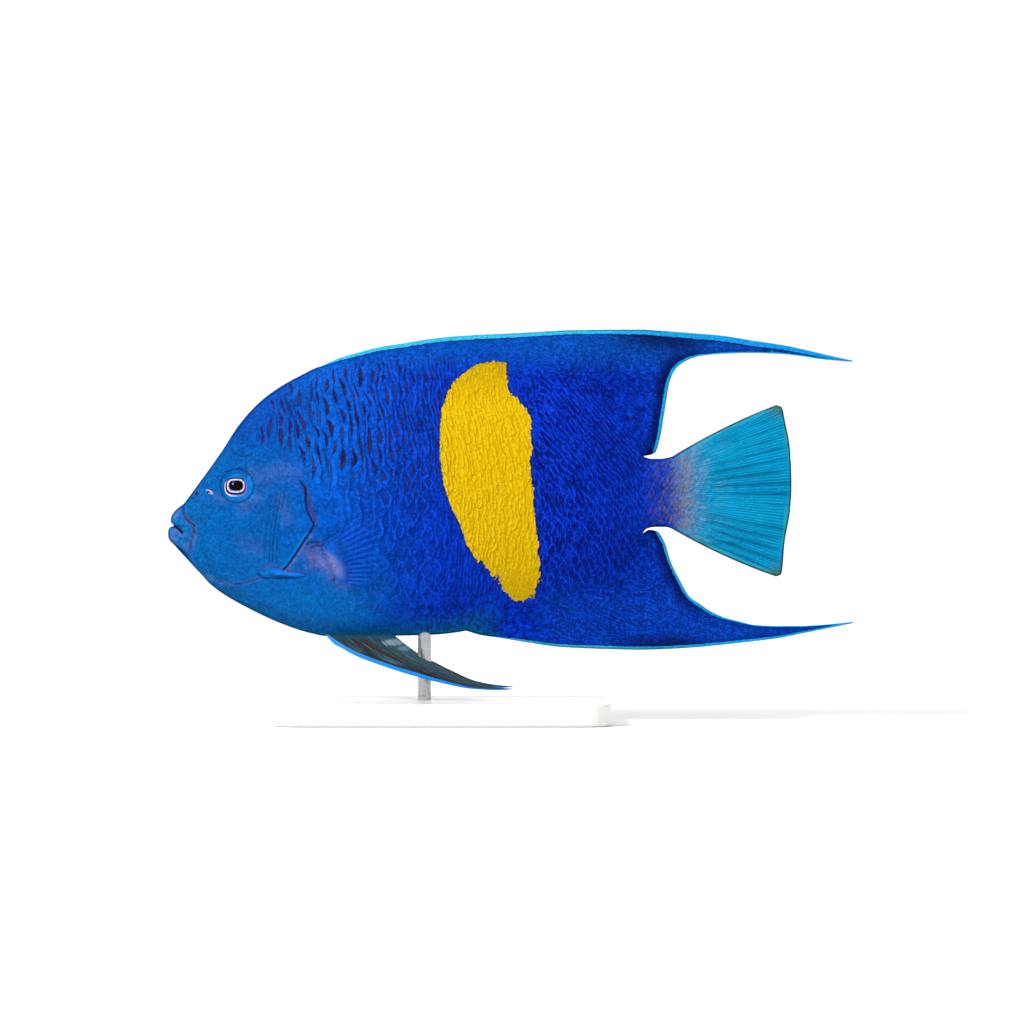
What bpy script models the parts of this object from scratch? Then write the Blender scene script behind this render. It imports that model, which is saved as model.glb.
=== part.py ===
# Yellowbar angelfish, life size, as a still museum model on a plain stand.
# The head points to -X, the left side to -Y and the back to +Z. The origin is
# the middle of the model's box at the level of the floor.

import math

import bmesh
import bpy
from mathutils import Matrix, Vector

# Driving sizes, in millimetres. "back" is measured from the tip of the snout
# towards the tail, "up" from the floor, "half" is half of a thickness.
MM = 0.001
MIDDLE = 181.5            # the origin, back from the tip of the snout
GAP = 0.3                 # clearance between touching parts
KEEL = 0.25               # half thickness where a section closes to a ridge
RIM = 0.28                # half thickness at the margin of a fin
MERGE = 0.0001            # metres, for the seam of a mirrored half

# Body outline without fins, as (back, up)
BACK_LINE = [
    (8.8, 115.6), (17.3, 127.2), (27.9, 142.0), (38.4, 157.9), (49.0, 169.5), (59.6, 177.4),
    (70.2, 183.3), (81.8, 188.5), (101.9, 191.2), (123.1, 192.2), (149.5, 192.8), (175.9, 190.7),
    (202.4, 184.8), (223.5, 176.4), (236.7, 166.3), (245.7, 154.2), (250.0, 145.2), (252.1, 140.6),
    (256.3, 139.4), (260.5, 139.4), (266.9, 140.6), (273.8, 143.6), (284.3, 149.2),
]
BELLY_LINE = [
    (4.6, 92.8), (10.4, 87.5), (17.3, 79.1), (22.6, 73.3), (30.5, 67.4), (43.7, 60.0), (59.6, 52.6),
    (75.5, 47.3), (86.0, 45.5), (117.8, 45.8), (138.9, 46.3), (154.8, 47.9), (175.9, 55.3),
    (202.4, 64.8), (228.8, 77.0), (243.6, 89.7), (250.0, 98.1), (253.1, 102.3), (257.9, 103.4),
    (263.2, 103.4), (268.5, 101.8), (276.4, 98.6), (284.3, 95.0),
]
MID_LINE = [
    (0.0, 99.0), (14.6, 103.0), (43.7, 111.3), (70.2, 115.0), (96.6, 117.7), (175.9, 117.7),
    (228.8, 120.3), (260.5, 121.5), (284.3, 122.2),
]

# Sections: half width, how full the flank is and how blunt its top and bottom
# are, and the half thickness that the fins grow from, each as (back, value)
HALF_WIDTH = [
    (0.0, 2.6), (4.1, 5.0), (9.4, 7.2), (17.3, 9.8), (27.9, 13.0), (38.4, 15.6), (49.0, 17.8),
    (59.6, 19.6), (70.2, 21.0), (91.3, 23.6), (123.0, 25.0), (144.0, 24.4), (165.4, 22.8),
    (186.5, 20.2), (207.7, 16.9), (228.8, 13.2), (250.0, 9.6), (258.0, 8.4), (271.0, 6.4),
    (284.3, 4.2),
]
FULLNESS = [(0.0, 2.1), (60.0, 2.2), (140.0, 2.4), (220.0, 2.4), (254.0, 2.0), (285.0, 2.0)]
TOP_BLUNTNESS = [
    (0.0, 0.55), (60.0, 0.56), (82.0, 0.66), (130.0, 0.98), (170.0, 1.15), (230.0, 1.1),
    (248.0, 0.8), (256.0, 0.6), (285.0, 0.6),
]
LOW_BLUNTNESS = [
    (0.0, 0.55), (60.0, 0.56), (125.0, 0.62), (150.0, 0.78), (180.0, 1.1), (230.0, 1.1),
    (248.0, 0.8), (256.0, 0.6), (285.0, 0.6),
]
DORSAL_ROOT = [
    (0.0, KEEL), (78.0, KEEL), (90.0, 1.1), (110.0, 2.1), (150.0, 3.0), (200.0, 3.4),
    (238.0, 3.0), (250.0, 2.0), (254.0, 0.6), (285.0, 0.4),
]
ANAL_ROOT = [
    (0.0, KEEL), (148.0, KEEL), (158.0, 1.0), (180.0, 2.6), (210.0, 3.2), (238.0, 2.8),
    (250.0, 2.0), (254.0, 0.6), (285.0, 0.4),
]

# Where the body is parted, as (level, back): level runs from 1 at the back
# over 0 at the middle line to -1 at the belly
LIP_FOLD = [
    (-1.0, 5.0), (-0.85, 8.5), (-0.52, 12.0), (-0.25, 13.6), (0.0, 14.6), (0.16, 13.1),
    (0.43, 10.9), (1.0, 8.8),
]
SHOULDER = [
    (-1.0, 46.9), (-0.87, 50.1), (-0.62, 57.5), (-0.4, 65.9), (-0.157, 71.0), (0.16, 69.1),
    (0.48, 70.2), (1.0, 80.7),
]
STALK_START = 253.4
SHOULDER_GAP = 0.34       # measured along the body, where the shoulder line leans
TAIL_ROOT_EDGE, TAIL_ROOT_BULGE = 266.9, 17.4

# Lips: front outlines as (back, up), and the levels of their rear edges
UPPER_LIP = [(7.9, 115.0), (4.6, 112.4), (2.1, 108.6), (1.9, 106.6), (3.0, 104.6)]
LOWER_LIP = [(1.5, 103.2), (0.4, 100.8), (0.5, 98.4), (1.3, 96.3), (4.2, 93.5)]
MOUTH_LEVELS = (-0.03, -0.1)
MOUTH_DIP = 1.5
LIP_FRONT_SHARE, LIP_ROUNDNESS, LIP_TURN = 0.06, 0.75, 0.3

# Eye, nostrils, gill cover and cheek spine
EYE_AT = (36.6, 125.2)
EYE_RADIUS, EYE_BULGE, EYE_SINK = 7.4, 4.8, 2.2
EYE_RIM_RADIUS, EYE_RIM_WALL = 7.9, 1.0
NOSTRILS = [(15.7, 120.9, 0.9, 0.0), (22.1, 121.9, 1.0, 1.7)]     # back, up, bore, rim radius
NOSTRIL_RIM_WALL = 0.55
GILL_FRONT = [(57.0, 129.3), (56.2, 112.0), (56.6, 96.0), (57.6, 83.2)]
GILL_REAR = [
    (69.0, 128.4), (72.6, 123.6), (73.3, 116.1), (75.5, 109.2), (77.4, 105.0), (72.0, 96.0),
    (63.8, 85.0), (60.6, 82.4),
]
GILL_MIDDLE, GILL_REACH = (66.5, 106.0), (7.5, 22.0)
GILL_PROUD, GILL_DEPTH = 0.6, 1.4
RECESS_REACH = 6.0        # how far the cutter of the recess stands out of the skin
SPINE_LINE = [(47.5, 78.6), (60.0, 78.9), (72.3, 77.9)]
SPINE_HALF_HEIGHT, SPINE_TIP = 1.8, 0.35
SPINE_PROUD, SPINE_SUNK, SPINE_CLEAR = 1.3, 1.0, 0.4
SPINE_LEAVES = 55.0       # behind this the spine stands clear of the body

# Fins: outlines as (back, up)
DORSAL_EDGE = [
    (86.0, 190.6), (91.3, 192.8), (101.9, 195.9), (112.5, 198.6), (123.1, 200.2), (138.9, 202.8),
    (154.8, 204.4), (186.5, 206.0), (218.2, 207.6), (250.0, 207.8),
]
DORSAL_CREST = [(250.45, 207.8), (263.2, 207.0), (276.4, 206.0)]
DORSAL_REAR = [
    (276.4, 192.2), (271.1, 189.1), (268.5, 186.4), (265.8, 180.6), (263.2, 165.8),
    (260.5, 149.9), (257.9, 142.4),
]
DORSAL_STREAMER_TOP = [
    (276.4, 206.0), (292.3, 204.7), (310.8, 201.8), (326.6, 199.4), (342.5, 195.9),
    (355.7, 192.8), (362.1, 191.5),
]
DORSAL_STREAMER_LOW = [
    (276.4, 192.2), (281.7, 193.8), (292.3, 194.9), (308.1, 195.4), (324.0, 194.9),
    (334.6, 193.8), (345.1, 192.2), (355.7, 191.2), (362.1, 190.7),
]
ANAL_EDGE = [
    (158.4, 46.9), (165.4, 46.3), (175.9, 44.7), (191.8, 42.1), (207.7, 39.9), (228.8, 38.9),
    (250.0, 38.4), (265.8, 38.9), (281.7, 39.9), (288.0, 40.5),
]
ANAL_REAR = [
    (288.0, 58.5), (281.7, 62.7), (276.4, 66.4), (273.8, 70.1), (271.1, 75.4), (268.5, 80.1),
    (265.8, 86.5), (263.2, 94.9), (259.0, 101.1),
]
ANAL_STREAMER_TOP = [
    (288.0, 58.5), (294.9, 55.5), (302.8, 53.4), (310.8, 51.6), (321.4, 51.1), (334.6, 51.1),
    (345.1, 51.6), (358.4, 52.8), (362.6, 53.2),
]
ANAL_STREAMER_LOW = [
    (288.0, 40.5), (302.8, 42.1), (324.0, 44.7), (334.6, 46.8), (345.1, 48.9), (355.7, 51.1),
    (362.6, 52.5),
]
TAIL_REAR = [
    (322.1, 167.9), (324.9, 166.9), (326.6, 159.5), (329.3, 144.6), (330.1, 125.6), (329.3, 111.9),
    (326.6, 96.5), (324.6, 78.2), (321.9, 77.2),
]
TAIL_RAY_BOW = 1.6
STREAMER_ROOT = 0.5
DORSAL_FROM, DORSAL_PART, DORSAL_TO = 87.0, 221.5, 250.6
DORSAL_SPLIT = 0.33       # along the root, between the front and the rear of the fin
ANAL_FROM, ANAL_TO = 159.0, 251.4

PELVIC_LEAD = [
    (83.0, 45.8), (91.3, 40.5), (100.3, 35.5), (112.5, 31.0), (125.2, 26.9), (146.3, 21.4),
    (160.6, 18.7), (175.9, 17.9), (182.8, 18.0),
]
PELVIC_TRAIL = [
    (116.7, 45.8), (123.6, 42.6), (128.3, 38.9), (136.0, 33.6), (149.5, 27.3), (163.8, 21.2),
    (175.9, 19.2), (182.8, 18.9),
]
PELVIC_OFFSET, PELVIC_SPLAY, PELVIC_ROOT = 5.6, 0.3, 1.3
PECTORAL_ROOT_LINE = [(80.5, 93.6), (84.0, 84.5), (91.0, 73.2)]
PECTORAL_MARGIN = [(110.5, 117.2), (121.5, 107.5), (125.5, 94.0), (120.5, 80.0), (107.5, 69.0)]
PECTORAL_SPREAD, PECTORAL_ROOT = 25.0, 1.6

# Stand
BASE_SIZE = (176.0, 96.0, 12.0)
BASE_MIDDLE = 146.0       # back from the tip of the snout
BASE_CORNER, BASE_EDGE = 14.0, 1.5
ROD_AT, ROD_RADIUS = 136.0, 3.5
ROD_IN_BASE, ROD_IN_BODY = 6.0, 9.0
ROD_SIDES = 24

# Fin rays: half width of a ray's foot, height of its crest, and how many each fin has
RAY_FOOT, RAY_RISE = 0.6, 0.35
SPINE_FOOT, SPINE_RISE = 0.9, 0.5
RAY_SHARE = 0.28          # of the pitch, the widest foot
DORSAL_SPINES, DORSAL_RAYS, ANAL_RAYS, TAIL_RAYS = 12, 12, 18, 17
STREAMER_RAYS, PELVIC_RAYS, PECTORAL_RAYS = 3, 5, 12
DORSAL_CREST_SHARE, DORSAL_CUT_SHARE = 4 / 12, 6 / 12
ANAL_EDGE_SHARE, ANAL_CUT_SHARE = 11 / 18, 13 / 18

# Divisions of the meshes
BODY_ROWS = 20
HEAD_COLUMNS, TRUNK_COLUMNS, STALK_COLUMNS = 14, 22, 6
HEAD_CROWD, TRUNK_CROWD = 0.8, 1.45     # above 1 the columns stand closer to the rear

# Colours (red, green, blue) with roughness
SKIN = ((0.01, 0.10, 0.52), 0.45)
HEAD_SKIN = ((0.01, 0.14, 0.50), 0.45)
LIP_SKIN = ((0.05, 0.10, 0.40), 0.45)
FIN_SKIN = ((0.01, 0.06, 0.38), 0.45)
TAIL_SKIN = ((0.01, 0.33, 0.55), 0.45)
CLEAR_FIN = ((0.05, 0.25, 0.70), 0.40)
DARK_FIN = ((0.03, 0.12, 0.16), 0.45)
EYE_GLOSS = ((0.01, 0.01, 0.02), 0.08)
STAND_WHITE = ((0.80, 0.79, 0.76), 0.35)
STEEL = ((0.60, 0.60, 0.62), 0.28)


def mix(a, b, t):
    return a + (b - a) * t


def smooth(points):
    """A function of one number through the points, smooth and without overshoot."""
    xs = [p[0] for p in points]
    ys = [p[1] for p in points]
    steps = [(ys[i + 1] - ys[i]) / (xs[i + 1] - xs[i]) for i in range(len(xs) - 1)]
    slopes = [steps[0]]
    for before, after in zip(steps, steps[1:]):
        flat = before * after <= 0
        slopes.append(0.0 if flat else 2 * before * after / (before + after))
    slopes.append(steps[-1])

    def value(x):
        x = min(max(x, xs[0]), xs[-1])
        i = min(sum(x >= knot for knot in xs[1:]), len(xs) - 2)
        width = xs[i + 1] - xs[i]
        t = (x - xs[i]) / width
        rise = (1 - t) ** 2 * (ys[i] * (1 + 2 * t) + slopes[i] * width * t)
        return rise + t * t * (ys[i + 1] * (3 - 2 * t) - slopes[i + 1] * width * (1 - t))

    return value


def along(points):
    """A function of 0 to 1 that walks a smooth line through the points at an even pace."""
    reach = [0.0]
    for a, b in zip(points, points[1:]):
        reach.append(reach[-1] + math.dist(a, b))
    parts = [smooth([(r, p[k]) for r, p in zip(reach, points)]) for k in range(len(points[0]))]
    return lambda t: tuple(part(t * reach[-1]) for part in parts)


def stretch(line, start, end, steps=60):
    """A part of a line over back, walked at an even pace from 0 to 1."""
    backs = [mix(start, end, k / steps) for k in range(steps + 1)]
    return along([(back, line(back)) for back in backs])


def beside(line, gap):
    """A line of 0 to 1 moved to its left by the gap, as its walker sees it."""
    def spot(t):
        a, b = line(max(t - 0.01, 0.0)), line(min(t + 0.01, 1.0))
        run, rise = b[0] - a[0], b[1] - a[1]
        size = math.hypot(run, rise)
        back, up = line(t)
        return back - gap * rise / size, up + gap * run / size
    return spot


back_line = smooth(BACK_LINE)
belly_line = smooth(BELLY_LINE)
mid_line = smooth(MID_LINE)
half_width = smooth(HALF_WIDTH)
fullness = smooth(FULLNESS)
top_bluntness = smooth(TOP_BLUNTNESS)
low_bluntness = smooth(LOW_BLUNTNESS)
dorsal_root = smooth(DORSAL_ROOT)
anal_root = smooth(ANAL_ROOT)
lip_fold = smooth(LIP_FOLD)
shoulder = smooth(SHOULDER)


def tail_root(level):
    return TAIL_ROOT_EDGE + TAIL_ROOT_BULGE * (1 - level * level)


def height(back, level):
    """Up of a point on the flank, from its level."""
    end = back_line(back) if level > 0 else belly_line(back)
    return mix(mid_line(back), end, abs(level))


def girth(back, level):
    """Half thickness of the body at a level of its section."""
    upper = level > 0
    root = dorsal_root(back) if upper else anal_root(back)
    bluntness = top_bluntness(back) if upper else low_bluntness(back)
    part = max(1 - min(abs(level), 1.0) ** fullness(back), 0.0)
    return root + (half_width(back) - root) * part ** bluntness


def flank(back, up):
    """Half thickness of the body at a place seen from the side."""
    mid = mid_line(back)
    end = back_line(back) if up > mid else belly_line(back)
    return girth(back, (up - mid) / abs(end - mid))


def belly(back, side):
    """Up of the underside at a distance from the middle plane."""
    root = anal_root(back)
    part = (side - root) / (half_width(back) - root)
    level = (1 - part ** (1 / low_bluntness(back))) ** (1 / fullness(back))
    return height(back, -level)


def place(back, side, up):
    return Vector(((back - MIDDLE) * MM, side * MM, up * MM))


# Scene, materials and the two collections

for old in list(bpy.data.objects):
    bpy.data.objects.remove(old, do_unlink=True)

parts = bpy.data.collections.new("Yellowbar angelfish")
cutters = bpy.data.collections.new("Cutters")
for group in (parts, cutters):
    bpy.context.scene.collection.children.link(group)


def finish(name, look):
    material = bpy.data.materials.get(name) or bpy.data.materials.new(name)
    material.use_nodes = True
    shader = material.node_tree.nodes["Principled BSDF"]
    colour, roughness = look
    shader.inputs["Base Color"].default_value = (*colour, 1.0)
    shader.inputs["Roughness"].default_value = roughness
    shader.inputs["Metallic"].default_value = 1.0 if look is STEEL else 0.0
    return material


def add_mesh(name, points, faces, look, group=parts):
    mesh = bpy.data.meshes.new(name)
    mesh.from_pydata(points, [], faces)
    mesh.materials.append(finish(name, look))
    node = bpy.data.objects.new(name, mesh)
    group.objects.link(node)
    return node


def add_primitive(name, look, group=parts):
    """Names the primitive just added and moves it to its collection."""
    node = bpy.context.object
    node.name = name
    node.data.materials.append(finish(name, look))
    for owner in list(node.users_collection):
        owner.objects.unlink(node)
    group.objects.link(node)
    return node


def hide(cutter):
    cutter.display_type = "WIRE"
    cutter.hide_render = True


def cut(node, group):
    boolean = node.modifiers.new("Cut", "BOOLEAN")
    boolean.operand_type = "COLLECTION"
    boolean.collection = group
    boolean.operation = "DIFFERENCE"


def border(across, down):
    """The points round a grid as (i, j), in the turning sense of its faces."""
    loop = [(i, 0) for i in range(across)]
    loop += [(across - 1, j) for j in range(1, down)]
    loop += [(i, down - 1) for i in range(across - 2, -1, -1)]
    loop += [(0, j) for j in range(down - 2, 0, -1)]
    return loop


def sheet_faces(across, down, start):
    """Triangles of a grid, with the same diagonal all over."""
    faces = []
    for i in range(across - 1):
        for j in range(down - 1):
            a = start + i * down + j
            b, c, d = a + down, a + down + 1, a + 1
            faces += [(a, b, c), (a, c, d)]
    return faces


def slab(name, near, far, look, group=parts):
    """A closed piece between two grids of points, split alike on both faces."""
    across, down = len(near), len(near[0])
    count = across * down
    points = [p for line in near for p in line] + [p for line in far for p in line]
    faces = sheet_faces(across, down, 0)
    faces += [(a + count, c + count, b + count) for a, b, c in sheet_faces(across, down, 0)]
    loop = [i * down + j for i, j in border(across, down)]
    for a, b in zip(loop, loop[1:] + loop[:1]):
        faces += [(b, a, a + count), (b, a + count, b + count)]
    node = add_mesh(name, points, faces, look, group)
    face_outwards(node)
    return node


def face_outwards(node):
    shape = bmesh.new()
    shape.from_mesh(node.data)
    bmesh.ops.recalc_face_normals(shape, faces=shape.faces)
    shape.to_mesh(node.data)
    shape.free()


def mirrored(node, name):
    """The right-hand twin of a left-hand piece."""
    twin = node.copy()
    twin.data = node.data.copy()
    twin.name = twin.data.name = name
    twin.data.transform(Matrix.Diagonal((1, -1, 1, 1)))
    twin.data.flip_normals()
    node.users_collection[0].objects.link(twin)
    return twin


def half_slab(name, grid, look):
    """A left half from a grid of (back, up, half), closed to the middle plane by its mirror."""
    across, down = len(grid), len(grid[0])
    points = [place(back, -half, up) for line in grid for back, up, half in line]
    faces = sheet_faces(across, down, 0)
    loop = [i * down + j for i, j in border(across, down)]
    middle = {}
    for key in loop:
        middle[key] = len(points)
        points.append(Vector((points[key].x, 0.0, points[key].z)))
    for a, b in zip(loop, loop[1:] + loop[:1]):
        faces += [(b, a, middle[a]), (b, middle[a], middle[b])]
    first = [points[k] for k in faces[0]]
    if (first[1] - first[0]).cross(first[2] - first[0]).y > 0:
        faces = [face[::-1] for face in faces]
    node = add_mesh(name, points, faces, look)
    mirror = node.modifiers.new("Other side", "MIRROR")
    mirror.use_axis = (False, True, False)
    mirror.merge_threshold = MERGE
    return node


# Body: head, trunk and tail stalk

def body_grid(front, rear, columns, crowd=1.0, front_gap=0.0):
    """Points of the flank between two parting lines, each a function of level."""
    grid = []
    for i in range(columns):
        share = 1 - (1 - i / (columns - 1)) ** crowd
        line = []
        for j in range(BODY_ROWS):
            level = math.cos(math.pi * j / (BODY_ROWS - 1))
            back = mix(front(level) + front_gap, rear(level), share)
            line.append((back, height(back, level), girth(back, level)))
        grid.append(line)
    return grid


def stalk_start(level):
    return STALK_START


head = half_slab("head", body_grid(lip_fold, shoulder, HEAD_COLUMNS, HEAD_CROWD), HEAD_SKIN)
trunk = half_slab(
    "trunk", body_grid(shoulder, stalk_start, TRUNK_COLUMNS, TRUNK_CROWD, SHOULDER_GAP), SKIN)
stalk = half_slab("tail_stalk", body_grid(stalk_start, tail_root, STALK_COLUMNS, 1.0, GAP), SKIN)


# Lips: pads between their front outline and the fold behind them

def across_body(parting):
    """A parting line over level as a line of 0 to 1 from the back down to the belly."""
    def spot(t):
        level = 1 - 2 * t
        return parting(level), height(parting(level), level)
    return spot


def lip(name, outline, top_level, low_level, mouth_below, rows=8, columns=7):
    """A pad; the mouth lies at its lower edge on the upper lip and at its upper on the lower."""
    front, fold = along(outline), beside(across_body(lip_fold), -GAP)
    grid = []
    for i in range(columns):
        share = i / (columns - 1)
        swell = math.sin(math.pi / 2 * max(share, LIP_FRONT_SHARE)) ** LIP_ROUNDNESS
        line = []
        for j in range(rows):
            t = j / (rows - 1)
            level = mix(top_level, low_level, t)
            near_mouth = t if mouth_below else 1 - t
            a, b = front(t), fold((1 - level) / 2)
            sag = MOUTH_DIP * 4 * share * (1 - share) * near_mouth ** 2
            half = girth(lip_fold(level), level) * swell * (1 - LIP_TURN * near_mouth ** 6)
            line.append((mix(a[0], b[0], share), mix(a[1], b[1], share) - sag, max(half, KEEL)))
        grid.append(line)
    return half_slab(name, grid, LIP_SKIN)


lip("upper_lip", UPPER_LIP, 1.0, MOUTH_LEVELS[0], True)
lip("lower_lip", LOWER_LIP, MOUTH_LEVELS[1], -1.0, False)


# Eyes with their rims, nostrils, gill covers and cheek spines

def flank_frame(back, up, out=0.0):
    """A matrix at a place on the left flank, with its Z axis pointing out of the skin."""
    step = 1.0
    along_back = place(back + step, -flank(back + step, up), up) - place(
        back - step, -flank(back - step, up), up)
    along_up = place(back, -flank(back, up + step), up + step) - place(
        back, -flank(back, up - step), up - step)
    outward = along_back.cross(along_up).normalized()
    side = along_back.normalized()
    turn = Matrix((side, outward.cross(side), outward)).transposed().to_4x4()
    spot = place(back, -flank(back, up), up) + outward * out * MM
    return Matrix.Translation(spot) @ turn


def left_and_right(node, frame):
    """Sets a piece on the left flank and adds its twin on the right."""
    node.data.transform(frame)
    return node, mirrored(node, node.name.replace("left", "right"))


def eyeball(name, grow, group):
    bpy.ops.mesh.primitive_uv_sphere_add(segments=18, ring_count=8, radius=1.0)
    ball = add_primitive(name, EYE_GLOSS, group)
    wide = (EYE_RADIUS + grow) * MM
    ball.data.transform(Matrix.Diagonal((wide, wide, (EYE_BULGE + grow) * MM, 1)))
    return left_and_right(ball, flank_frame(*EYE_AT, -EYE_SINK))


def ring(name, back, up, radius, wall, out, group):
    bpy.ops.mesh.primitive_torus_add(
        major_segments=18, minor_segments=5, major_radius=radius * MM, minor_radius=wall * MM)
    return left_and_right(add_primitive(name, HEAD_SKIN, group), flank_frame(back, up, out))


def gill_plate(name, inner, outer, grow, group):
    """A plate under the skin line: rows run down, columns from the cheek to the free edge."""
    front, rear = along(GILL_FRONT), along(GILL_REAR)
    rows, columns = 13, 4
    near, far = [], []
    for i in range(columns):
        for line, out in ((near, outer), (far, inner)):
            column = []
            for j in range(rows):
                a, b = front(j / (rows - 1)), rear(j / (rows - 1))
                back = mix(a[0], b[0], i / (columns - 1))
                up = mix(a[1], b[1], i / (columns - 1))
                depth = flank(back, up) + out
                back += grow * (back - GILL_MIDDLE[0]) / GILL_REACH[0]
                up += grow * (up - GILL_MIDDLE[1]) / GILL_REACH[1]
                column.append(place(back, -depth, up))
            line.append(column)
    node = slab(name, near, far, HEAD_SKIN, group)
    return node, mirrored(node, name.replace("left", "right"))


def cheek_spine(name, group):
    line = along(SPINE_LINE)
    near, far = [], []
    columns = 7
    for i in range(columns):
        share = i / (columns - 1)
        back, up = line(share)
        half = mix(SPINE_HALF_HEIGHT, SPINE_TIP, share ** 1.5)
        sunk = -SPINE_SUNK if back < SPINE_LEAVES else SPINE_CLEAR
        proud = mix(SPINE_PROUD, SPINE_CLEAR + 2 * SPINE_TIP, share ** 2)
        near.append([place(back, -flank(back, up) - out, up + half * k)
                     for k, out in ((1, mix(sunk, proud, 0.6)), (0, proud), (-1, mix(sunk, proud, 0.6)))])
        far.append([place(back, -flank(back, up) - sunk, up + half * k) for k in (1, 0, -1)])
    node = slab(name, near, far, HEAD_SKIN, group)
    return node, mirrored(node, name.replace("left", "right"))


def join_to(node, group):
    """Fuses the pieces of a collection with a node, and removes them."""
    boolean = node.modifiers.new("Join", "BOOLEAN")
    boolean.operand_type = "COLLECTION"
    boolean.collection = group
    boolean.operation = "UNION"
    joined = bpy.data.meshes.new_from_object(node.evaluated_get(bpy.context.evaluated_depsgraph_get()))
    node.modifiers.clear()
    node.data = joined
    for piece in list(group.objects):
        bpy.data.objects.remove(piece, do_unlink=True)
    bpy.data.collections.remove(group)


def new_group(name, parent=cutters):
    group = bpy.data.collections.new(name)
    parent.children.link(group)
    return group


eyeball("eye_left", 0.0, parts)
gill_plate("gill_cover_left", -GILL_DEPTH, GILL_PROUD, 0.0, parts)

raised = new_group("Raised on the head")
ring("eye_rim_left", *EYE_AT, EYE_RIM_RADIUS, EYE_RIM_WALL, 0.0, raised)
for back, up, bore, rim in NOSTRILS:
    if rim:
        ring("nostril_rim_left", back, up, rim, NOSTRIL_RIM_WALL, 0.0, raised)
cheek_spine("cheek_spine_left", raised)
join_to(head, raised)

head_cutters = new_group("Cut from the head")
eyeball("eye_socket_left", GAP, head_cutters)
for back, up, bore, rim in NOSTRILS:
    bpy.ops.mesh.primitive_uv_sphere_add(segments=8, ring_count=5, radius=bore * MM)
    left_and_right(add_primitive("nostril_bore_left", EYE_GLOSS, head_cutters),
                   flank_frame(back, up, 0.1))
cut(head, head_cutters)

gill_cutters = new_group("Cut for the gill covers")
gill_plate("gill_recess_left", -GILL_DEPTH - GAP, RECESS_REACH, GAP, gill_cutters)
cut(head, gill_cutters)
cut(trunk, gill_cutters)


# Unpaired fins: grids whose rows run from the root to the margin

def ray_grid(rays, rows, span, foot=RAY_FOOT, rise=RAY_RISE, corners=()):
    """A grid of (u, v, rise): every ray is a crest between two feet and fades at both ends."""
    columns = [(0.0, 0, 0), (1.0, 0, 0)] + [(u, 0, 0) for u in corners]
    for k in range(rays):
        u = (k + 0.5) / rays
        columns += [(u, -1, 0), (u, 0, 1), (u, 1, 0)]
    grid = []
    for u, side, crest in sorted(columns):
        line = []
        for j in range(rows):
            v = j / (rows - 1)
            reach = min(foot * mix(1.0, 0.5, v) / span(v), RAY_SHARE / rays)
            fade = min(4 * v, 1.0) * mix(1.0, 0.4, v)
            line.append((u + side * reach, v, crest * rise * fade))
        grid.append(line)
    return grid


def span_of(spot, steps=24):
    """The width of a fin across its rays, as a function of the way out."""
    def span(v):
        line = [spot(k / steps, v) for k in range(steps + 1)]
        return sum(math.dist(a, b) for a, b in zip(line, line[1:]))
    return span


def web(root, edge, bow=0.0):
    """Places on a fin between its root and its margin; bow bends the rays apart."""
    def spot(u, v):
        a, b = root(u), edge(u)
        return mix(a[0], b[0], v), mix(a[1], b[1], v) + bow * (1 - 2 * u) * 4 * v * (1 - v)
    return spot


def fin(name, spot, root_half, look, rays, rows, **ray_sizes):
    """A fin in the middle plane; its half thickness falls from root_half(u) to the rim."""
    grid = []
    for column in ray_grid(rays, rows, span_of(spot), **ray_sizes):
        grid.append([(*spot(u, v), mix(RIM, root_half(u), (1 - v) ** 1.6) + rise)
                     for u, v, rise in column])
    return half_slab(name, grid, look)


def corner_edge(*runs):
    """Walks several runs one after the other, each over its own share of 0 to 1."""
    walks = [(end, along(points)) for end, points in runs]

    def edge(u):
        start = 0.0
        for end, walk in walks:
            if u <= end + 1e-9:
                return walk((u - start) / (end - start))
            start = end
        return walks[-1][1](1.0)

    return edge


dorsal_front_root = beside(stretch(back_line, DORSAL_FROM, DORSAL_PART), GAP)
dorsal_rear_root = beside(stretch(back_line, DORSAL_PART + DORSAL_SPLIT, DORSAL_TO), GAP)
anal_fin_root = beside(stretch(belly_line, ANAL_FROM, ANAL_TO), -GAP)
tail_fin_root = beside(across_body(tail_root), GAP)

fin("dorsal_fin_front", web(dorsal_front_root, along(DORSAL_EDGE)),
    lambda u: dorsal_root(dorsal_front_root(u)[0]), FIN_SKIN,
    DORSAL_SPINES, 6, foot=SPINE_FOOT, rise=SPINE_RISE)

dorsal_edge = corner_edge(
    (DORSAL_CREST_SHARE, DORSAL_CREST),
    (DORSAL_CUT_SHARE, [DORSAL_CREST[-1], DORSAL_REAR[0]]),
    (1.0, DORSAL_REAR))
fin("dorsal_fin_rear", web(dorsal_rear_root, dorsal_edge),
    lambda u: dorsal_root(dorsal_rear_root(u)[0]), FIN_SKIN,
    DORSAL_RAYS, 7, corners=(DORSAL_CREST_SHARE, DORSAL_CUT_SHARE))

anal_edge = corner_edge(
    (ANAL_EDGE_SHARE, ANAL_EDGE),
    (ANAL_CUT_SHARE, [ANAL_EDGE[-1], ANAL_REAR[0]]),
    (1.0, ANAL_REAR))
fin("anal_fin", web(anal_fin_root, anal_edge),
    lambda u: anal_root(anal_fin_root(u)[0]), FIN_SKIN,
    ANAL_RAYS, 7, corners=(ANAL_EDGE_SHARE, ANAL_CUT_SHARE))


def streamer(name, top_points, low_points):
    top, low = along(top_points), along(low_points)

    def spot(u, v):
        a, b = top(v), low(v)
        return mix(a[0], b[0], u) + GAP * (1 - v), mix(a[1], b[1], u)

    return fin(name, spot, lambda u: STREAMER_ROOT, FIN_SKIN, STREAMER_RAYS, 11)


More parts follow.
